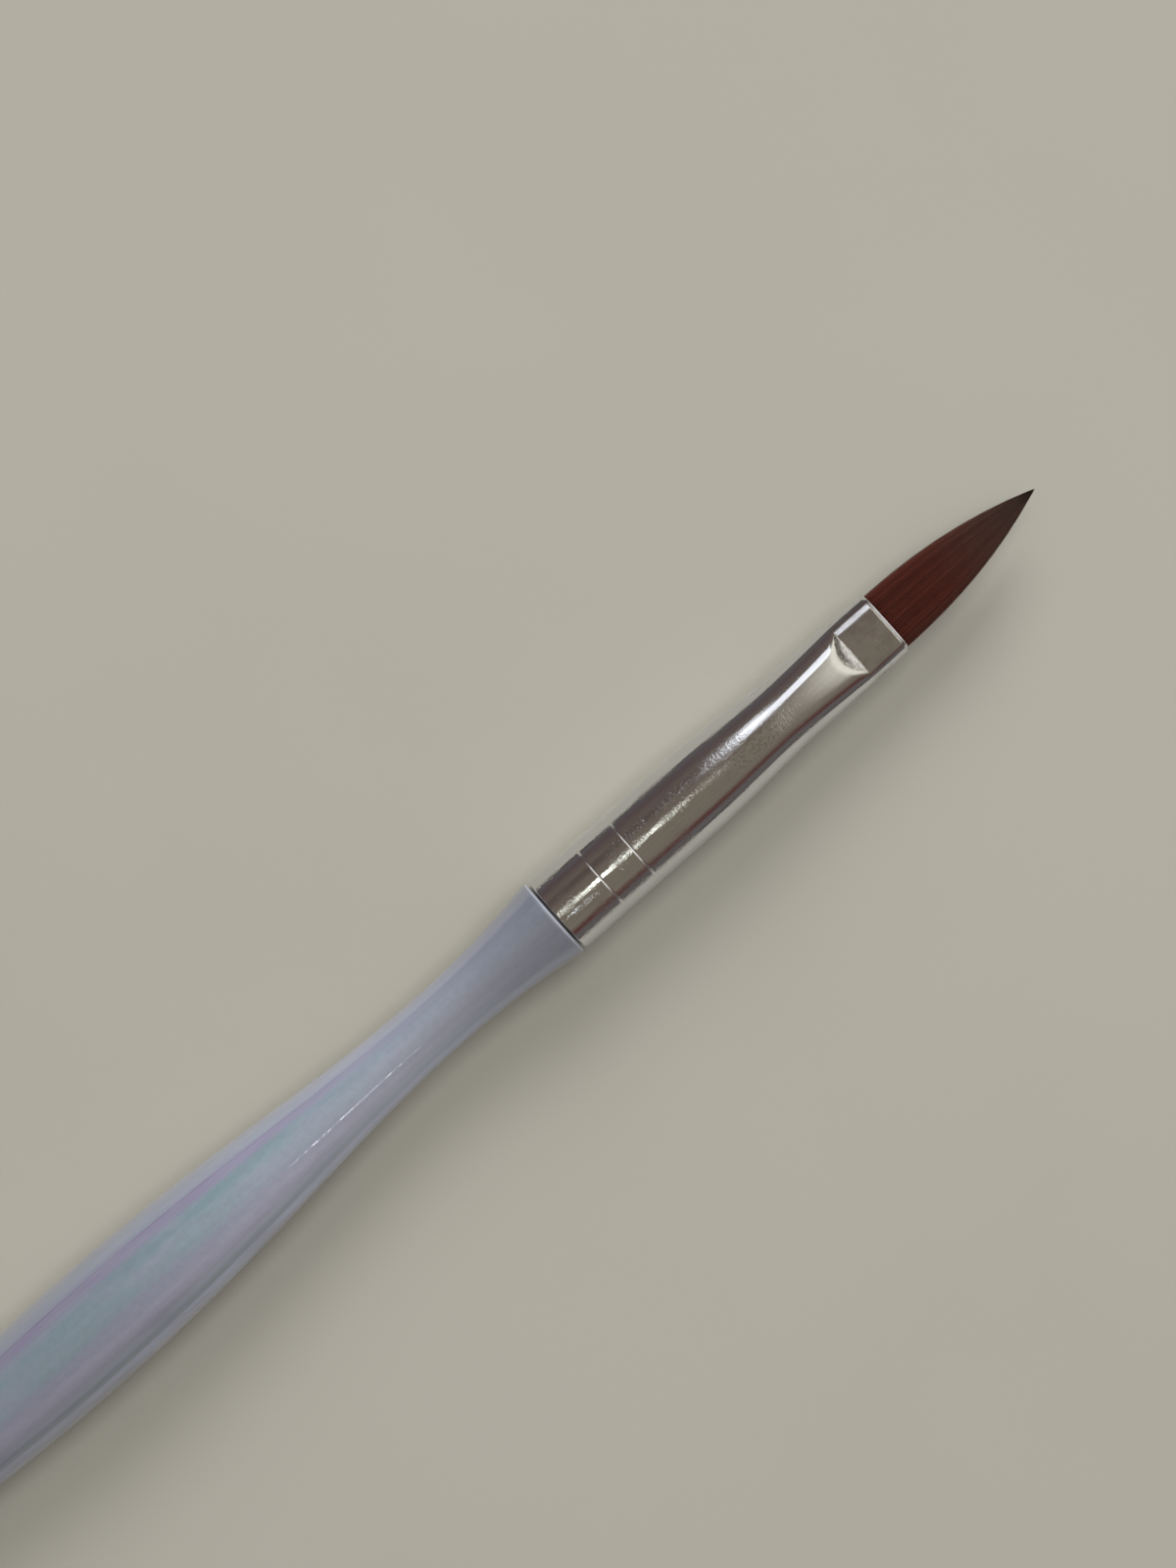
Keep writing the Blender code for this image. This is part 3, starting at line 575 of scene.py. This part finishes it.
# stops beyond about 45 degrees up and down are painted reflections of the table, with a painted line at their
# edge; the underside's colours are painted lighter against its shade; the rest are the pearl's colours,
# partly its sheen painted fixed
PEARL_BANDS_WITH_PAINTED_REFLECTIONS = [(-180, PEARL_TEAL), (-150, PEARL_LAVENDER), (-125, PEARL_MAUVE), (-90, PEARL_PAINTED_REFLECTION_DOWN),
               (-54, PEARL_PAINTED_REFLECTION_DOWN), (-51, PEARL_PAINTED_EDGE_LINE_DOWN), (-41, PEARL_PAINTED_LIGHTER_UNDERSIDE), (-33, PEARL_ROSE), (-22, PEARL_ROSE),
               (-13, PEARL_LAVENDER), (-2, PEARL_TEAL), (14, PEARL_TEAL), (22, PEARL_DEEP), (29, PEARL_DEEP),
               (35, PEARL_MAUVE), (43.5, PEARL_MAUVE), (44.5, PEARL_PAINTED_EDGE_LINE_UP), (45.5, PEARL_PAINTED_EDGE_LINE_UP),
               (46.2, PEARL_BLUE), (90, PEARL_PAINTED_REFLECTION_UP), (120, PEARL_ROSE), (150, PEARL_LAVENDER),
               (180, PEARL_TEAL)]  # degrees round the axis from the top
# the same at the waist, with the same painted reflections and painted lighter underside
WAIST_BANDS_WITH_PAINTED_REFLECTIONS = [(-180, PEARL_GREY), (-110, PEARL_GREY), (-60, PEARL_PAINTED_REFLECTION_DOWN), (-42, PEARL_PAINTED_LIGHTER_UNDERSIDE),
               (-16, PEARL_GREY), (2, PEARL_GREY), (20, PEARL_BLUE), (44, PEARL_BLUE), (47, PEARL_PAINTED_REFLECTION_UP),
               (100, PEARL_PAINTED_REFLECTION_UP), (180, PEARL_GREY)]
FINE_STREAKS, BROAD_STREAKS = 2600.0, 420.0  # streaks to a metre
BAND_WANDER = 0.012  # how far the bands stray, as a share of a full turn
CLOUDS = (170.0, 700.0, 700.0)  # clouds to a metre along, across and up

pearl, tree, shader, coords = finish_of("pearl_lacquer", {
    "Coat Roughness": 0.03, "Coat IOR": 1.65, "Specular IOR Level": 0.3})
to_axis = (0.0, 0.0, -axis_height)
from_axis = put(tree, "ShaderNodeMapping", {"Vector": coords, "Location": to_axis}).outputs[0]
part = parted(tree, from_axis)
angle = sums(tree, "ARCTAN2", part["Y"], part["Z"])
broad = effect(tree, streaks, from_axis, BROAD_STREAKS)["Streak"]
wander = times(tree, sums(tree, "SUBTRACT", broad, 0.5), BAND_WANDER)
turn_share = sums(tree, "ADD", sums(tree, "MULTIPLY_ADD", angle, 1 / (2 * math.pi), 0.5), wander)
cloud = noise(tree, from_axis, CLOUDS, 4.0)
bands = toned(tree, turn_share, PEARL_BANDS_WITH_PAINTED_REFLECTIONS, -180, 180)
bands = tinted(tree, spread(tree, cloud, 0.40, 0.70, 0.0, 0.5), bands, PEARL_LAVENDER)
print(f"pearl bands: {len(PEARL_BANDS_WITH_PAINTED_REFLECTIONS)} stops round the handle")

# %% Painted shading along the handle, a painted highlight on its rim, and its bare spigot painted dark for the gap's shade
SPIGOT_BARE_AND_GAP_SHADE = shown(58, 54, 52)
RIM_PAINTED_HIGHLIGHT = shown(196, 201, 214)
BANDS_FROM, BANDS_FULL = 0.008, 0.036  # metres behind the shoulder
# metres behind the shoulder, and the painted shading there: darker at the shoulder and the belly
PEARL_PAINTED_SHADING = [(0.0, 0.60), (0.0066, 0.72), (0.0113, 0.85), (0.0185, 0.98), (0.0309, 0.97), (0.0466, 0.78),
               (0.0545, 0.74), (0.1240, 0.76)]

behind = sums(tree, "SUBTRACT", shoulder, part["X"])
banded = spread(tree, behind, BANDS_FROM, BANDS_FULL, 0.10, 1.0)
pearl_with_painted_reflections = tinted(tree, banded, toned(tree, turn_share, WAIST_BANDS_WITH_PAINTED_REFLECTIONS, -180, 180), bands)
fine = effect(tree, streaks, from_axis, FINE_STREAKS)["Streak"]
lit = dimmed(tree, pearl_with_painted_reflections, spread(tree, fine, 0.25, 0.75, 0.96, 1.04))
# painted shading along the handle: darker at the shoulder and the belly
far_behind = sums(tree, "DIVIDE", behind, HANDLE_LENGTH)
painted_shading_stops = [(place, (share, share, share, 1.0)) for place, share in PEARL_PAINTED_SHADING]
lit = tinted(tree, 1.0, lit, toned(tree, far_behind, painted_shading_stops, 0.0, HANDLE_LENGTH), "MULTIPLY")
# a painted highlight along the rounded edge of the rim
rim_highlight = times(tree, spread(tree, behind, 0.00022, 0.00012), spread(tree, behind, 0.00001, 0.00004), 0.6)
lit = tinted(tree, rim_highlight, lit, RIM_PAINTED_HIGHLIGHT)
# the bare spigot is painted dark, which also paints the shade in the gap at the shoulder
covered = spread(tree, behind, -0.00004, 0.0)
tree.links.new(tinted(tree, covered, SPIGOT_BARE_AND_GAP_SHADE, lit), shader.inputs["Base Color"])
print(f"pearl bands full from {BANDS_FULL * 1000:.0f} mm behind the shoulder")

# %% The handle's satin ground, ragged coat and fine waves
HANDLE_MARKS = 1400.0  # scratches to a metre
HANDLE_RIPPLES = 1500.0  # ripples to a metre
RIPPLE_HEIGHT = 0.00001
CROWN, CROWN_END = 0.35, 0.70  # radians from the top, where the flecks start to fade and are gone
FLECKED = 0.9  # how much of the coat the flecks take away

worn = effect(tree, marks, from_axis, HANDLE_MARKS)
satin = spread(tree, worn["Smudges"], 0.0, 1.0, 0.30, 0.38)
tree.links.new(sums(tree, "MULTIPLY_ADD", worn["Scratches"], 0.2, satin), shader.inputs["Roughness"])
ripple = noise(tree, from_axis, HANDLE_RIPPLES, 3.0)
crown = spread(tree, sums(tree, "ABSOLUTE", angle), CROWN, CROWN_END, FLECKED, 0.0)
thin = times(tree, crown, spread(tree, ripple, 0.36, 0.60))
tree.links.new(sums(tree, "SUBTRACT", 1.0, thin), shader.inputs["Coat Weight"])
bump = put(tree, "ShaderNodeBump", {"Height": ripple, "Strength": 0.3, "Distance": RIPPLE_HEIGHT})
tree.links.new(bump.outputs[0], shader.inputs["Normal"])
pearl_handle.data.materials.append(pearl)
print("pearl lacquer on", pearl_handle.name)

# %% [markdown]
# ## Ferrule: form
# The ferrule is a drawn tube. Its barrel is round, its taper eases into an oval neck, and two flat jaws
# have pressed the mouth, which leaves a flat above and below with a crescent behind it. Lofting sections by
# hand would work, but one formula does it all: an ellipse at each place along the tube, its height held
# down to the jaw's. A soft lesser-of-two keeps the pressed edges slightly rounded, as metal bends.

# %% The ferrule's sections
FERRULE_LENGTH = 0.0352
MOUTH = SHOULDER_GAP + FERRULE_LENGTH
BARREL_END = 0.0145
NECK_START = MOUTH - 0.0090
NECK_WIDTH, MOUTH_WIDTH = 0.00608, 0.00592
MOUTH_HEIGHT = 0.00376
CRIMP_START = MOUTH - 0.0038
LEVEL_START = CRIMP_START + 0.0015  # from here to the mouth the tube's height stays the same
STEEPEST = 0.85  # where the top line slopes most, as a share of the way from the barrel to there
CRIMP_THICKNESS = 0.0030
CRIMP_RAMP = math.radians(32.0)
PRESSED_ROUNDING = 0.00042  # how far from an edge the metal starts to bend


def ease(value):
    """Half a cosine wave: 0 up to value 0, 1 from value 1, level at both ends."""
    return 0.5 - 0.5 * np.cos(math.pi * np.clip(value, 0.0, 1.0))


def half_width(x):
    """Half the width: barrel, eased taper, then the nearly parallel neck."""
    taper = ease((x - BARREL_END) / (NECK_START - BARREL_END)) * (FERRULE_DIAMETER - NECK_WIDTH)
    neck = np.clip((x - NECK_START) / (MOUTH - NECK_START), 0.0, None) * (NECK_WIDTH - MOUTH_WIDTH)
    return (FERRULE_DIAMETER - taper - neck) / 2


def half_height(x):
    """Half the height before pressing: a parabola down from the barrel, and a short one that levels it."""
    share = np.clip((x - BARREL_END) / (LEVEL_START - BARREL_END), 0.0, 1.0)
    falling = share ** 2 / STEEPEST
    levelling = 1.0 - (1.0 - share) ** 2 / (1.0 - STEEPEST)
    drop = np.where(share < STEEPEST, falling, levelling)
    return (FERRULE_DIAMETER - drop * (FERRULE_DIAMETER - MOUTH_HEIGHT)) / 2


def rolled(x):
    """Depth of the two rolled rings, a groove each whose sides slope evenly to its middle."""
    share = np.abs(x[..., None] - ROLL_PLACES) / (ROLL_WIDTH / 2)
    return (ROLL_DEPTH * np.clip(1.0 - share, 0.0, 1.0)).sum(axis=-1)


def held_down(height, jaw):
    """The lesser of a height's size and the jaw's, eased by a parabola where they are close, sign kept."""
    size = np.abs(height)
    close = np.clip(1.0 - np.abs(size - jaw) / PRESSED_ROUNDING, 0.0, 1.0)
    return np.sign(height) * (np.minimum(size, jaw) - PRESSED_ROUNDING / 4 * close ** 2)


def tube_ring(x, inset, turn):
    """Points of the tube's wall: an ellipse drawn in by the inset, its height held down by the jaws."""
    jaw = CRIMP_THICKNESS / 2 + np.clip(CRIMP_START - x, 0.0, None) * math.tan(CRIMP_RAMP)
    depth = rolled(x) + inset
    across = (half_width(x) - depth) * np.cos(turn)
    up = held_down((half_height(x) - depth) * np.sin(turn), jaw - inset)
    return np.stack(np.broadcast_arrays(x, across, up), axis=-1)


print(f"mouth {MOUTH_WIDTH * 1000:.2f} x {CRIMP_THICKNESS * 1000:.2f} mm")

# %% Rows along the ferrule's wall: the outside, the lips and the inside
LIP = 0.00009  # rounding of the wall's ends
LIP_STEPS = 6
BEVEL_LONG, BEVEL_DEEP = 0.00032, 0.00013  # the mouth's edge was dressed to a narrow slope
CLOSE = 0.00001  # rows this near to an edge keep its shading from spreading
RAMP_BACK = CRIMP_START - 0.0012  # between these two places the rows are fine, for the crescent
RAMP_FRONT = CRIMP_START + 0.0002
REAR = SHOULDER_GAP + LIP
BEVEL_START = MOUTH - BEVEL_LONG


def rows(*parts):
    """Places along the tube from rows of (start, end, steps), each once and in order."""
    return np.unique(np.concatenate([np.linspace(*part) for part in parts]))


grooves = [(place - ROLL_WIDTH / 2, place + ROLL_WIDTH / 2, 13) for place in ROLL_PLACES]
beside = [(place - ROLL_WIDTH / 2 - CLOSE, place + ROLL_WIDTH / 2 + CLOSE, 2) for place in ROLL_PLACES]
outside = rows((REAR, REAR + CLOSE, 2), (REAR, BARREL_END, 24), *grooves, *beside,
               (BARREL_END, RAMP_BACK, 60), (RAMP_BACK, RAMP_FRONT, 60), (RAMP_FRONT, BEVEL_START, 24),
               (BEVEL_START - CLOSE, BEVEL_START, 2))
inside = rows((REAR, CRIMP_START, 40), (CRIMP_START, MOUTH - LIP, 8))[::-1]
arc = np.linspace(0.0, math.pi / 2, LIP_STEPS)
bevel = np.column_stack([np.linspace(BEVEL_START, MOUTH - 0.1 * LIP, LIP_STEPS),
                         np.linspace(0.0, BEVEL_DEEP, LIP_STEPS)])
front_in = np.column_stack([MOUTH - LIP + LIP * np.cos(arc), FERRULE_WALL - LIP + LIP * np.sin(arc)])
rear_in = np.column_stack([REAR - LIP * np.sin(arc), FERRULE_WALL - LIP + LIP * np.cos(arc)])
rear_out = np.column_stack([REAR - LIP * np.cos(arc), LIP - LIP * np.sin(arc)])
path = np.concatenate([
    np.column_stack([outside, np.zeros(len(outside))]), bevel[1:], front_in,
    np.column_stack([inside, np.full(len(inside), FERRULE_WALL)])[1:], rear_in[1:], rear_out[:-1]])
print(f"{len(path)} rows along the wall, {len(outside)} of them outside")

# %% Carry the rows round the ferrule, with a slightly ragged bevel
FERRULE_AROUND = 256
RAGGED = 0.00003
RAGGED_WAVES = [(17, 1.0), (41, 0.0), (67, 2.0)]  # waves round the mouth, and where each starts

turn = np.arange(FERRULE_AROUND) * 2 * math.pi / FERRULE_AROUND
ragged = RAGGED * sum(np.sin(waves * turn + start) for waves, start in RAGGED_WAVES) / len(RAGGED_WAVES)
on_bevel = np.isclose(path[:, 0], BEVEL_START, atol=1.5 * CLOSE) & (path[:, 1] == 0.0)
wall = tube_ring(path[:, 0, None], path[:, 1, None], turn[None, :])
wall[..., 0] += on_bevel[:, None] * ragged
wall = wall.reshape(-1, 3) + (shoulder, 0.0, axis_height)
bright_ferrule = mesh_piece("bright_ferrule", wall, ring_faces(len(path), FERRULE_AROUND, True))
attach(bright_ferrule, "root")
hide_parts("ferrule")
enclosed(bright_ferrule)

# %% [markdown]
# ## Ferrule: finish
# The plating is bright but not perfect: ragged glints on the barrel, a faintly hammered and hazy taper,
# tiny pits, and at the crimp a rough crescent with a painted shade in the fold behind it and a duller flat in
# front. Each place gets a mask, and then its share of bump, colour and gloss. A picture of worn metal could
# be wrapped round the tube, but noise on the piece's own coordinates has no seam and any fineness.

# %% Masks for the places on the ferrule
nickel, tree, shader, coords = finish_of("nickel_plate", {"Metallic": 1.0})
to_shoulder = (-shoulder, 0.0, -axis_height)
from_axis = put(tree, "ShaderNodeMapping", {"Vector": coords, "Location": to_shoulder}).outputs[0]
part = parted(tree, from_axis)
taper = times(tree, spread(tree, part["X"], BARREL_END + 0.0020, BARREL_END + 0.0050),
              spread(tree, part["X"], NECK_START - 0.0015, NECK_START - 0.0040),
              spread(tree, part["Y"], -0.0016, -0.0006), spread(tree, part["Y"], 0.0009, 0.0003))
slope = math.tan(CRIMP_RAMP)
jaw = sums(tree, "MULTIPLY_ADD", part["X"], -slope, CRIMP_THICKNESS / 2 + CRIMP_START * slope)
below_jaw = sums(tree, "SUBTRACT", jaw, sums(tree, "ABSOLUTE", part["Z"]))
pressed = times(tree, spread(tree, below_jaw, 0.00016, 0.00008),
                spread(tree, part["X"], CRIMP_START + 0.00008, CRIMP_START - 0.00004))
# painted shade in the fold behind the crescent, stronger towards the +Y side
fold = times(tree, spread(tree, below_jaw, 0.000015, 0.00006), spread(tree, below_jaw, 0.00018, 0.00012),
             spread(tree, part["X"], CRIMP_START, CRIMP_START - 0.0001),
             spread(tree, part["Y"], -0.0014, 0.0004, 0.0, 0.78))
flat = spread(tree, part["X"], CRIMP_START, CRIMP_START + 0.0001)
print("places on the ferrule: taper, pressed crescent, fold, flat")

# %% Bump of the plating
PEEL, HAMMERING, CRUMPLE, PITS, CALM = 6500.0, 4200.0, 2300.0, 1500.0, 260.0  # lumps to a metre
CHATTER = (4000.0, 1100.0, 1100.0)  # and along, across and up
PEEL_HEIGHT, CHATTER_HEIGHT, CRUMPLE_HEIGHT, PIT_DEPTH = 1.9, 0.55, 15.0, 0.5
RELIEF = 0.00001  # metres to one unit of height

peel = noise(tree, from_axis, PEEL, 2.0)
chatter = noise(tree, from_axis, CHATTER, 1.0)
calm = noise(tree, from_axis, CALM, 1.0)
hammer = noise(tree, from_axis, HAMMERING, 1.0)
crumple = noise(tree, from_axis, CRUMPLE, 1.5)
pit_field = put(tree, "ShaderNodeTexVoronoi", {"Vector": from_axis, "Scale": PITS}).outputs["Distance"]
ripple = sums(tree, "MULTIPLY_ADD", peel, PEEL_HEIGHT, times(tree, chatter, CHATTER_HEIGHT))
ripple = times(tree, ripple, spread(tree, calm, 0.38, 0.62, 0.15, 1.0))
ripple = sums(tree, "MULTIPLY_ADD", hammer, taper, ripple)
ripple = times(tree, ripple, spread(tree, part["X"], NECK_START - 0.0045, NECK_START + 0.001, 1.0, 0.15),
               spread(tree, part["X"], CRIMP_START - 0.0002, CRIMP_START, 1.0, 0.25))
rough = times(tree, sums(tree, "SUBTRACT", crumple, 0.5), CRUMPLE_HEIGHT)
height = sums(tree, "MULTIPLY_ADD", rough, pressed, ripple)
height = sums(tree, "SUBTRACT", height, times(tree, spread(tree, pit_field, 0.10, 0.02), PIT_DEPTH))
bump = put(tree, "ShaderNodeBump", {"Height": height, "Strength": 1.0, "Distance": RELIEF})
tree.links.new(bump.outputs[0], shader.inputs["Normal"])
print(f"bump of the plating, {RELIEF * 1e6:.0f} micrometres to a unit")

# %% Colour and gloss of the plating
PLATE_DEEP = (0.750, 0.766, 0.800, 1)
PLATE_LIGHT = (0.800, 0.818, 0.850, 1)
PLATE_SMUDGED = (0.715, 0.725, 0.745, 1)
PLATE_DULL = (0.560, 0.560, 0.570, 1)
PLATE_HAMMERED = (0.42, 0.41, 0.40, 1)
PLATE_PRESSED = (0.700, 0.695, 0.680, 1)
PLATE_FOLD_PAINTED_SHADE = (0.070, 0.065, 0.055, 1)
DRAWN_LINES, PLATE_MARKS, DULLING = 5200.0, 2200.0, 1100.0  # to a metre

drawn_lines = effect(tree, streaks, from_axis, DRAWN_LINES)["Streak"]
worn = effect(tree, marks, from_axis, PLATE_MARKS)
smudged = times(tree, worn["Smudges"], 0.5)
dull = times(tree, spread(tree, noise(tree, from_axis, DULLING, 3.0), 0.42, 0.66, 0.0, 0.5), flat)
hammered = times(tree, taper, spread(tree, hammer, 0.46, 0.62, 0.0, 0.35))
plate = tinted(tree, spread(tree, drawn_lines, 0.3, 0.7), PLATE_DEEP, PLATE_LIGHT)
for share, colour in ((smudged, PLATE_SMUDGED), (dull, PLATE_DULL), (hammered, PLATE_HAMMERED),
                      (pressed, PLATE_PRESSED), (fold, PLATE_FOLD_PAINTED_SHADE)):
    plate = tinted(tree, share, plate, colour)
tree.links.new(plate, shader.inputs["Base Color"])
haze = times(tree, spread(tree, part["X"], BARREL_END, BARREL_END + 0.003, 0.0, 0.10),
             spread(tree, part["X"], NECK_START - 0.004, NECK_START + 0.002, 1.0, 0.6))
gloss = spread(tree, worn["Smudges"], 0.0, 1.0, 0.03, 0.09)
gloss = sums(tree, "MULTIPLY_ADD", worn["Scratches"], 0.15, gloss)
gloss = sums(tree, "ADD", gloss, haze)
tree.links.new(sums(tree, "MULTIPLY_ADD", pressed, 0.28, gloss), shader.inputs["Roughness"])
bright_ferrule.data.materials.append(nickel)
print("nickel plate on", bright_ferrule.name)

# %% [markdown]
# ## Hair tuft: form
# A tuft like this holds some thousands of fine filaments, packed in the ferrule's mouth and cut so that
# they gather to a point. Blender's hair system could grow them, but it can't be handed on as plain meshes.
# Here each strand is a three-sided tube: it starts at a place of its own in the pressed opening, is drawn in
# by the tuft's outline, and ends at a length of its own. The shortest strands lie on the outside.

# %% Where the strands start and end
HAIR_LENGTH = 0.0160
HAIR_SUNK = 0.0012  # how far the strands reach back into the mouth
STRAND_PITCH = 0.000066
STRAND_RADIUS = 0.000034
ASTRAY = 0.25 * STRAND_PITCH
HAIR_INSET = FERRULE_WALL + 0.00006
FULLNESS = 2.2  # the outline is 1 - (1 - share) ** fullness, shares counted from the tip
POINT = 0.015  # what is left of the outline at the tip
SWELL = 0.35  # how much the tuft bulges up and down, half-way along
EARLIEST_END = 0.30  # where the shortest strands end, as a share of the length from the tip
CORE_END = 0.15  # and in the tuft's core, as a share of that
GOLDEN_ANGLE = math.pi * (3.0 - math.sqrt(5.0))
GOLDEN_SHARE = (math.sqrt(5.0) - 1.0) / 2


def strand_starts():
    """Close-packed places in the pressed opening, each a little astray, and how far out each one lies."""
    wide = half_width(np.array(MOUTH)) - HAIR_INSET - STRAND_RADIUS
    high = half_height(np.array(MOUTH)) - HAIR_INSET - STRAND_RADIUS
    jaw = CRIMP_THICKNESS / 2 - HAIR_INSET - STRAND_RADIUS
    row_step = STRAND_PITCH * math.sqrt(3) / 2
    row = np.arange(-int(jaw / row_step), int(jaw / row_step) + 1)[:, None]
    column = np.arange(-int(wide / STRAND_PITCH) - 1, int(wide / STRAND_PITCH) + 2)[None, :]
    y, z = np.broadcast_arrays((column + 0.5 * (row % 2)) * STRAND_PITCH, row * row_step)
    opening = held_down(high * np.sqrt(np.clip(1.0 - (y / wide) ** 2, 0.0, 1.0)), jaw)
    kept = np.abs(z) <= np.clip(opening, 0.0, None)
    y, z = y[kept], z[kept]
    turn = GOLDEN_ANGLE * np.arange(len(y))
    reach = np.clip(np.hypot(y / wide, z / jaw), 0.0, 1.0)
    return y + ASTRAY * np.cos(turn), z + ASTRAY * np.sin(turn), reach


def outline(share):
    """The tuft's half width at a share of its length from the tip, as a share of that at the mouth."""
    return 1.0 - (1.0 - np.clip(share, 0.0, 1.0)) ** FULLNESS


start_y, start_z, reach = strand_starts()
uneven = np.modf(np.arange(len(reach)) * GOLDEN_SHARE)[0]
ends = EARLIEST_END * (CORE_END + (1.0 - CORE_END) * reach ** 2) * uneven ** 1.5
print(f"{len(reach)} strands, the shortest showing {HAIR_LENGTH * (1 - ends.max()) * 1000:.1f} mm")

# %% Carry a triangle along every strand
STRAND_STEPS = 8
TIP_THINNING = 0.6  # how much of its thickness a strand loses towards its end

step = np.linspace(0.0, 1.0, STRAND_STEPS + 1)
share = (1.0 + HAIR_SUNK / HAIR_LENGTH) * (1.0 - step) + ends[:, None] * step
gathered = POINT + (1.0 - POINT) * outline(share)
bulge = 1.0 + SWELL * np.sin(math.pi * np.clip(share, 0.0, 1.0))
line = np.stack([MOUTH + HAIR_LENGTH * (1.0 - share), start_y[:, None] * gathered,
                 start_z[:, None] * gathered * bulge], axis=-1)
thick = STRAND_RADIUS * gathered ** 0.6 * (1.0 - TIP_THINNING * step ** 3)
facing = GOLDEN_ANGLE * np.arange(len(reach))[:, None] + np.arange(3) * 2 * math.pi / 3
corners = np.stack([np.zeros(facing.shape), np.cos(facing), np.sin(facing)], axis=-1)
body = line[:, :-1, None, :] + thick[:, :-1, None, None] * corners[:, None, :, :]
per_strand = STRAND_STEPS * 3 + 1
strands = np.concatenate([body.reshape(len(reach), -1, 3), line[:, -1:, :]], axis=1)
hair_points = strands.reshape(-1, 3) + (shoulder, 0.0, axis_height)
first = np.arange(len(reach))[:, None, None] * per_strand
hair_sides = (first + ring_faces(STRAND_STEPS, 3, False)).reshape(-1, 4)
hair_ends = (first + fan(per_strand - 1, per_strand - 4, 3, False)).reshape(-1, 3)
hair_roots = (first + np.array([[0, 2, 1]])).reshape(-1, 3)
hair = mesh_piece("pointed_hair", hair_points, hair_sides, hair_ends, hair_roots)
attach(hair, "root")
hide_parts("hair_tuft")
enclosed(hair)

# %% [markdown]
# ## Hair tuft: finish
# The filaments are dyed a dark red-brown, redder at the root and nearly black-brown towards the point, and
# no two have quite the same depth of colour. A noise could fake that, but each strand can simply carry its
# own shade: one number for the strand and one for the way along it, kept on the mesh as attributes.

# %% Red-brown hair
HAIR_ROOT = shown(82, 37, 28)
HAIR_POINT = shown(76, 56, 48)
SHADE_STEP = 7.3  # keeps a strand's shade unrelated to its length

along_share = np.concatenate([np.repeat(share[:, :-1], 3, axis=1), share[:, -1:]], axis=1)
strand_shade = np.broadcast_to(np.modf(uneven * SHADE_STEP)[0][:, None], along_share.shape)
for name, values in (("way_along", along_share), ("strand_shade", strand_shade)):
    kept = hair.data.attributes.new(name, "FLOAT", "POINT")
    kept.data.foreach_set("value", np.clip(values, 0.0, 1.0).astype(np.float32).ravel())

red_brown, tree, shader, coords = finish_of("red_brown_hair", {"Roughness": 0.42, "Specular IOR Level": 0.35})
way = put(tree, "ShaderNodeAttribute", attribute_name="way_along").outputs["Fac"]
own = put(tree, "ShaderNodeAttribute", attribute_name="strand_shade").outputs["Fac"]
dyed = tinted(tree, spread(tree, way, 0.05, 0.75), HAIR_POINT, HAIR_ROOT)
hair_colour = dimmed(tree, dyed, spread(tree, own, 0.0, 1.0, 0.70, 1.25))
tree.links.new(hair_colour, shader.inputs["Base Color"])
hair.data.materials.append(red_brown)
print("red-brown hair on", hair.name)

# %% [markdown]
# ## Inside the ferrule
# A waxed thread ties the hair's root, set resin grips its butts, and a ring of glue holds the handle. They
# are hidden once the brush is made, so their CAD shapes stay as they are and only get finishes of their
# own: a twisted thread, cloudy amber resin and pale glue. All three are noise and bands on Object
# coordinates.

# %% Thread, resin and glue
def dress(node, made):
    """A CAD node's own object with a new finish in its material slot."""
    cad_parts[node].data.materials.clear()
    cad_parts[node].data.materials.append(made)


THREAD_DEEP = shown(176, 164, 138)
THREAD_LIGHT = shown(214, 205, 184)
THREAD_TWIST = 2400.0  # twists to a metre
THREAD_RELIEF = 0.00002
HARD_CLOUDS = 900.0  # clouds to a metre in resin and glue

thread, tree, shader, coords = finish_of("waxed_thread", {"Roughness": 0.7})
twist = put(tree, "ShaderNodeTexWave", {"Vector": coords, "Scale": THREAD_TWIST, "Distortion": 2.0},
            bands_direction="DIAGONAL").outputs[1]
tree.links.new(tinted(tree, twist, THREAD_DEEP, THREAD_LIGHT), shader.inputs["Base Color"])
bump = put(tree, "ShaderNodeBump", {"Height": twist, "Distance": THREAD_RELIEF})
tree.links.new(bump.outputs[0], shader.inputs["Normal"])
dress("tie_thread", thread)

for node, name, deep, light in (("root_resin", "amber_resin", shown(150, 104, 44), shown(196, 152, 84)),
                                ("handle_glue", "pale_glue", shown(196, 184, 146), shown(222, 214, 184))):
    set_hard, tree, shader, coords = finish_of(name, {"Coat Weight": 0.6, "Coat Roughness": 0.08})
    cloud = noise(tree, coords, HARD_CLOUDS, 3.0)
    tree.links.new(tinted(tree, spread(tree, cloud, 0.3, 0.7), deep, light), shader.inputs["Base Color"])
    tree.links.new(spread(tree, cloud, 0.3, 0.7, 0.22, 0.36), shader.inputs["Roughness"])
    dress(node, set_hard)
print("finishes inside the ferrule: waxed_thread, amber_resin, pale_glue")
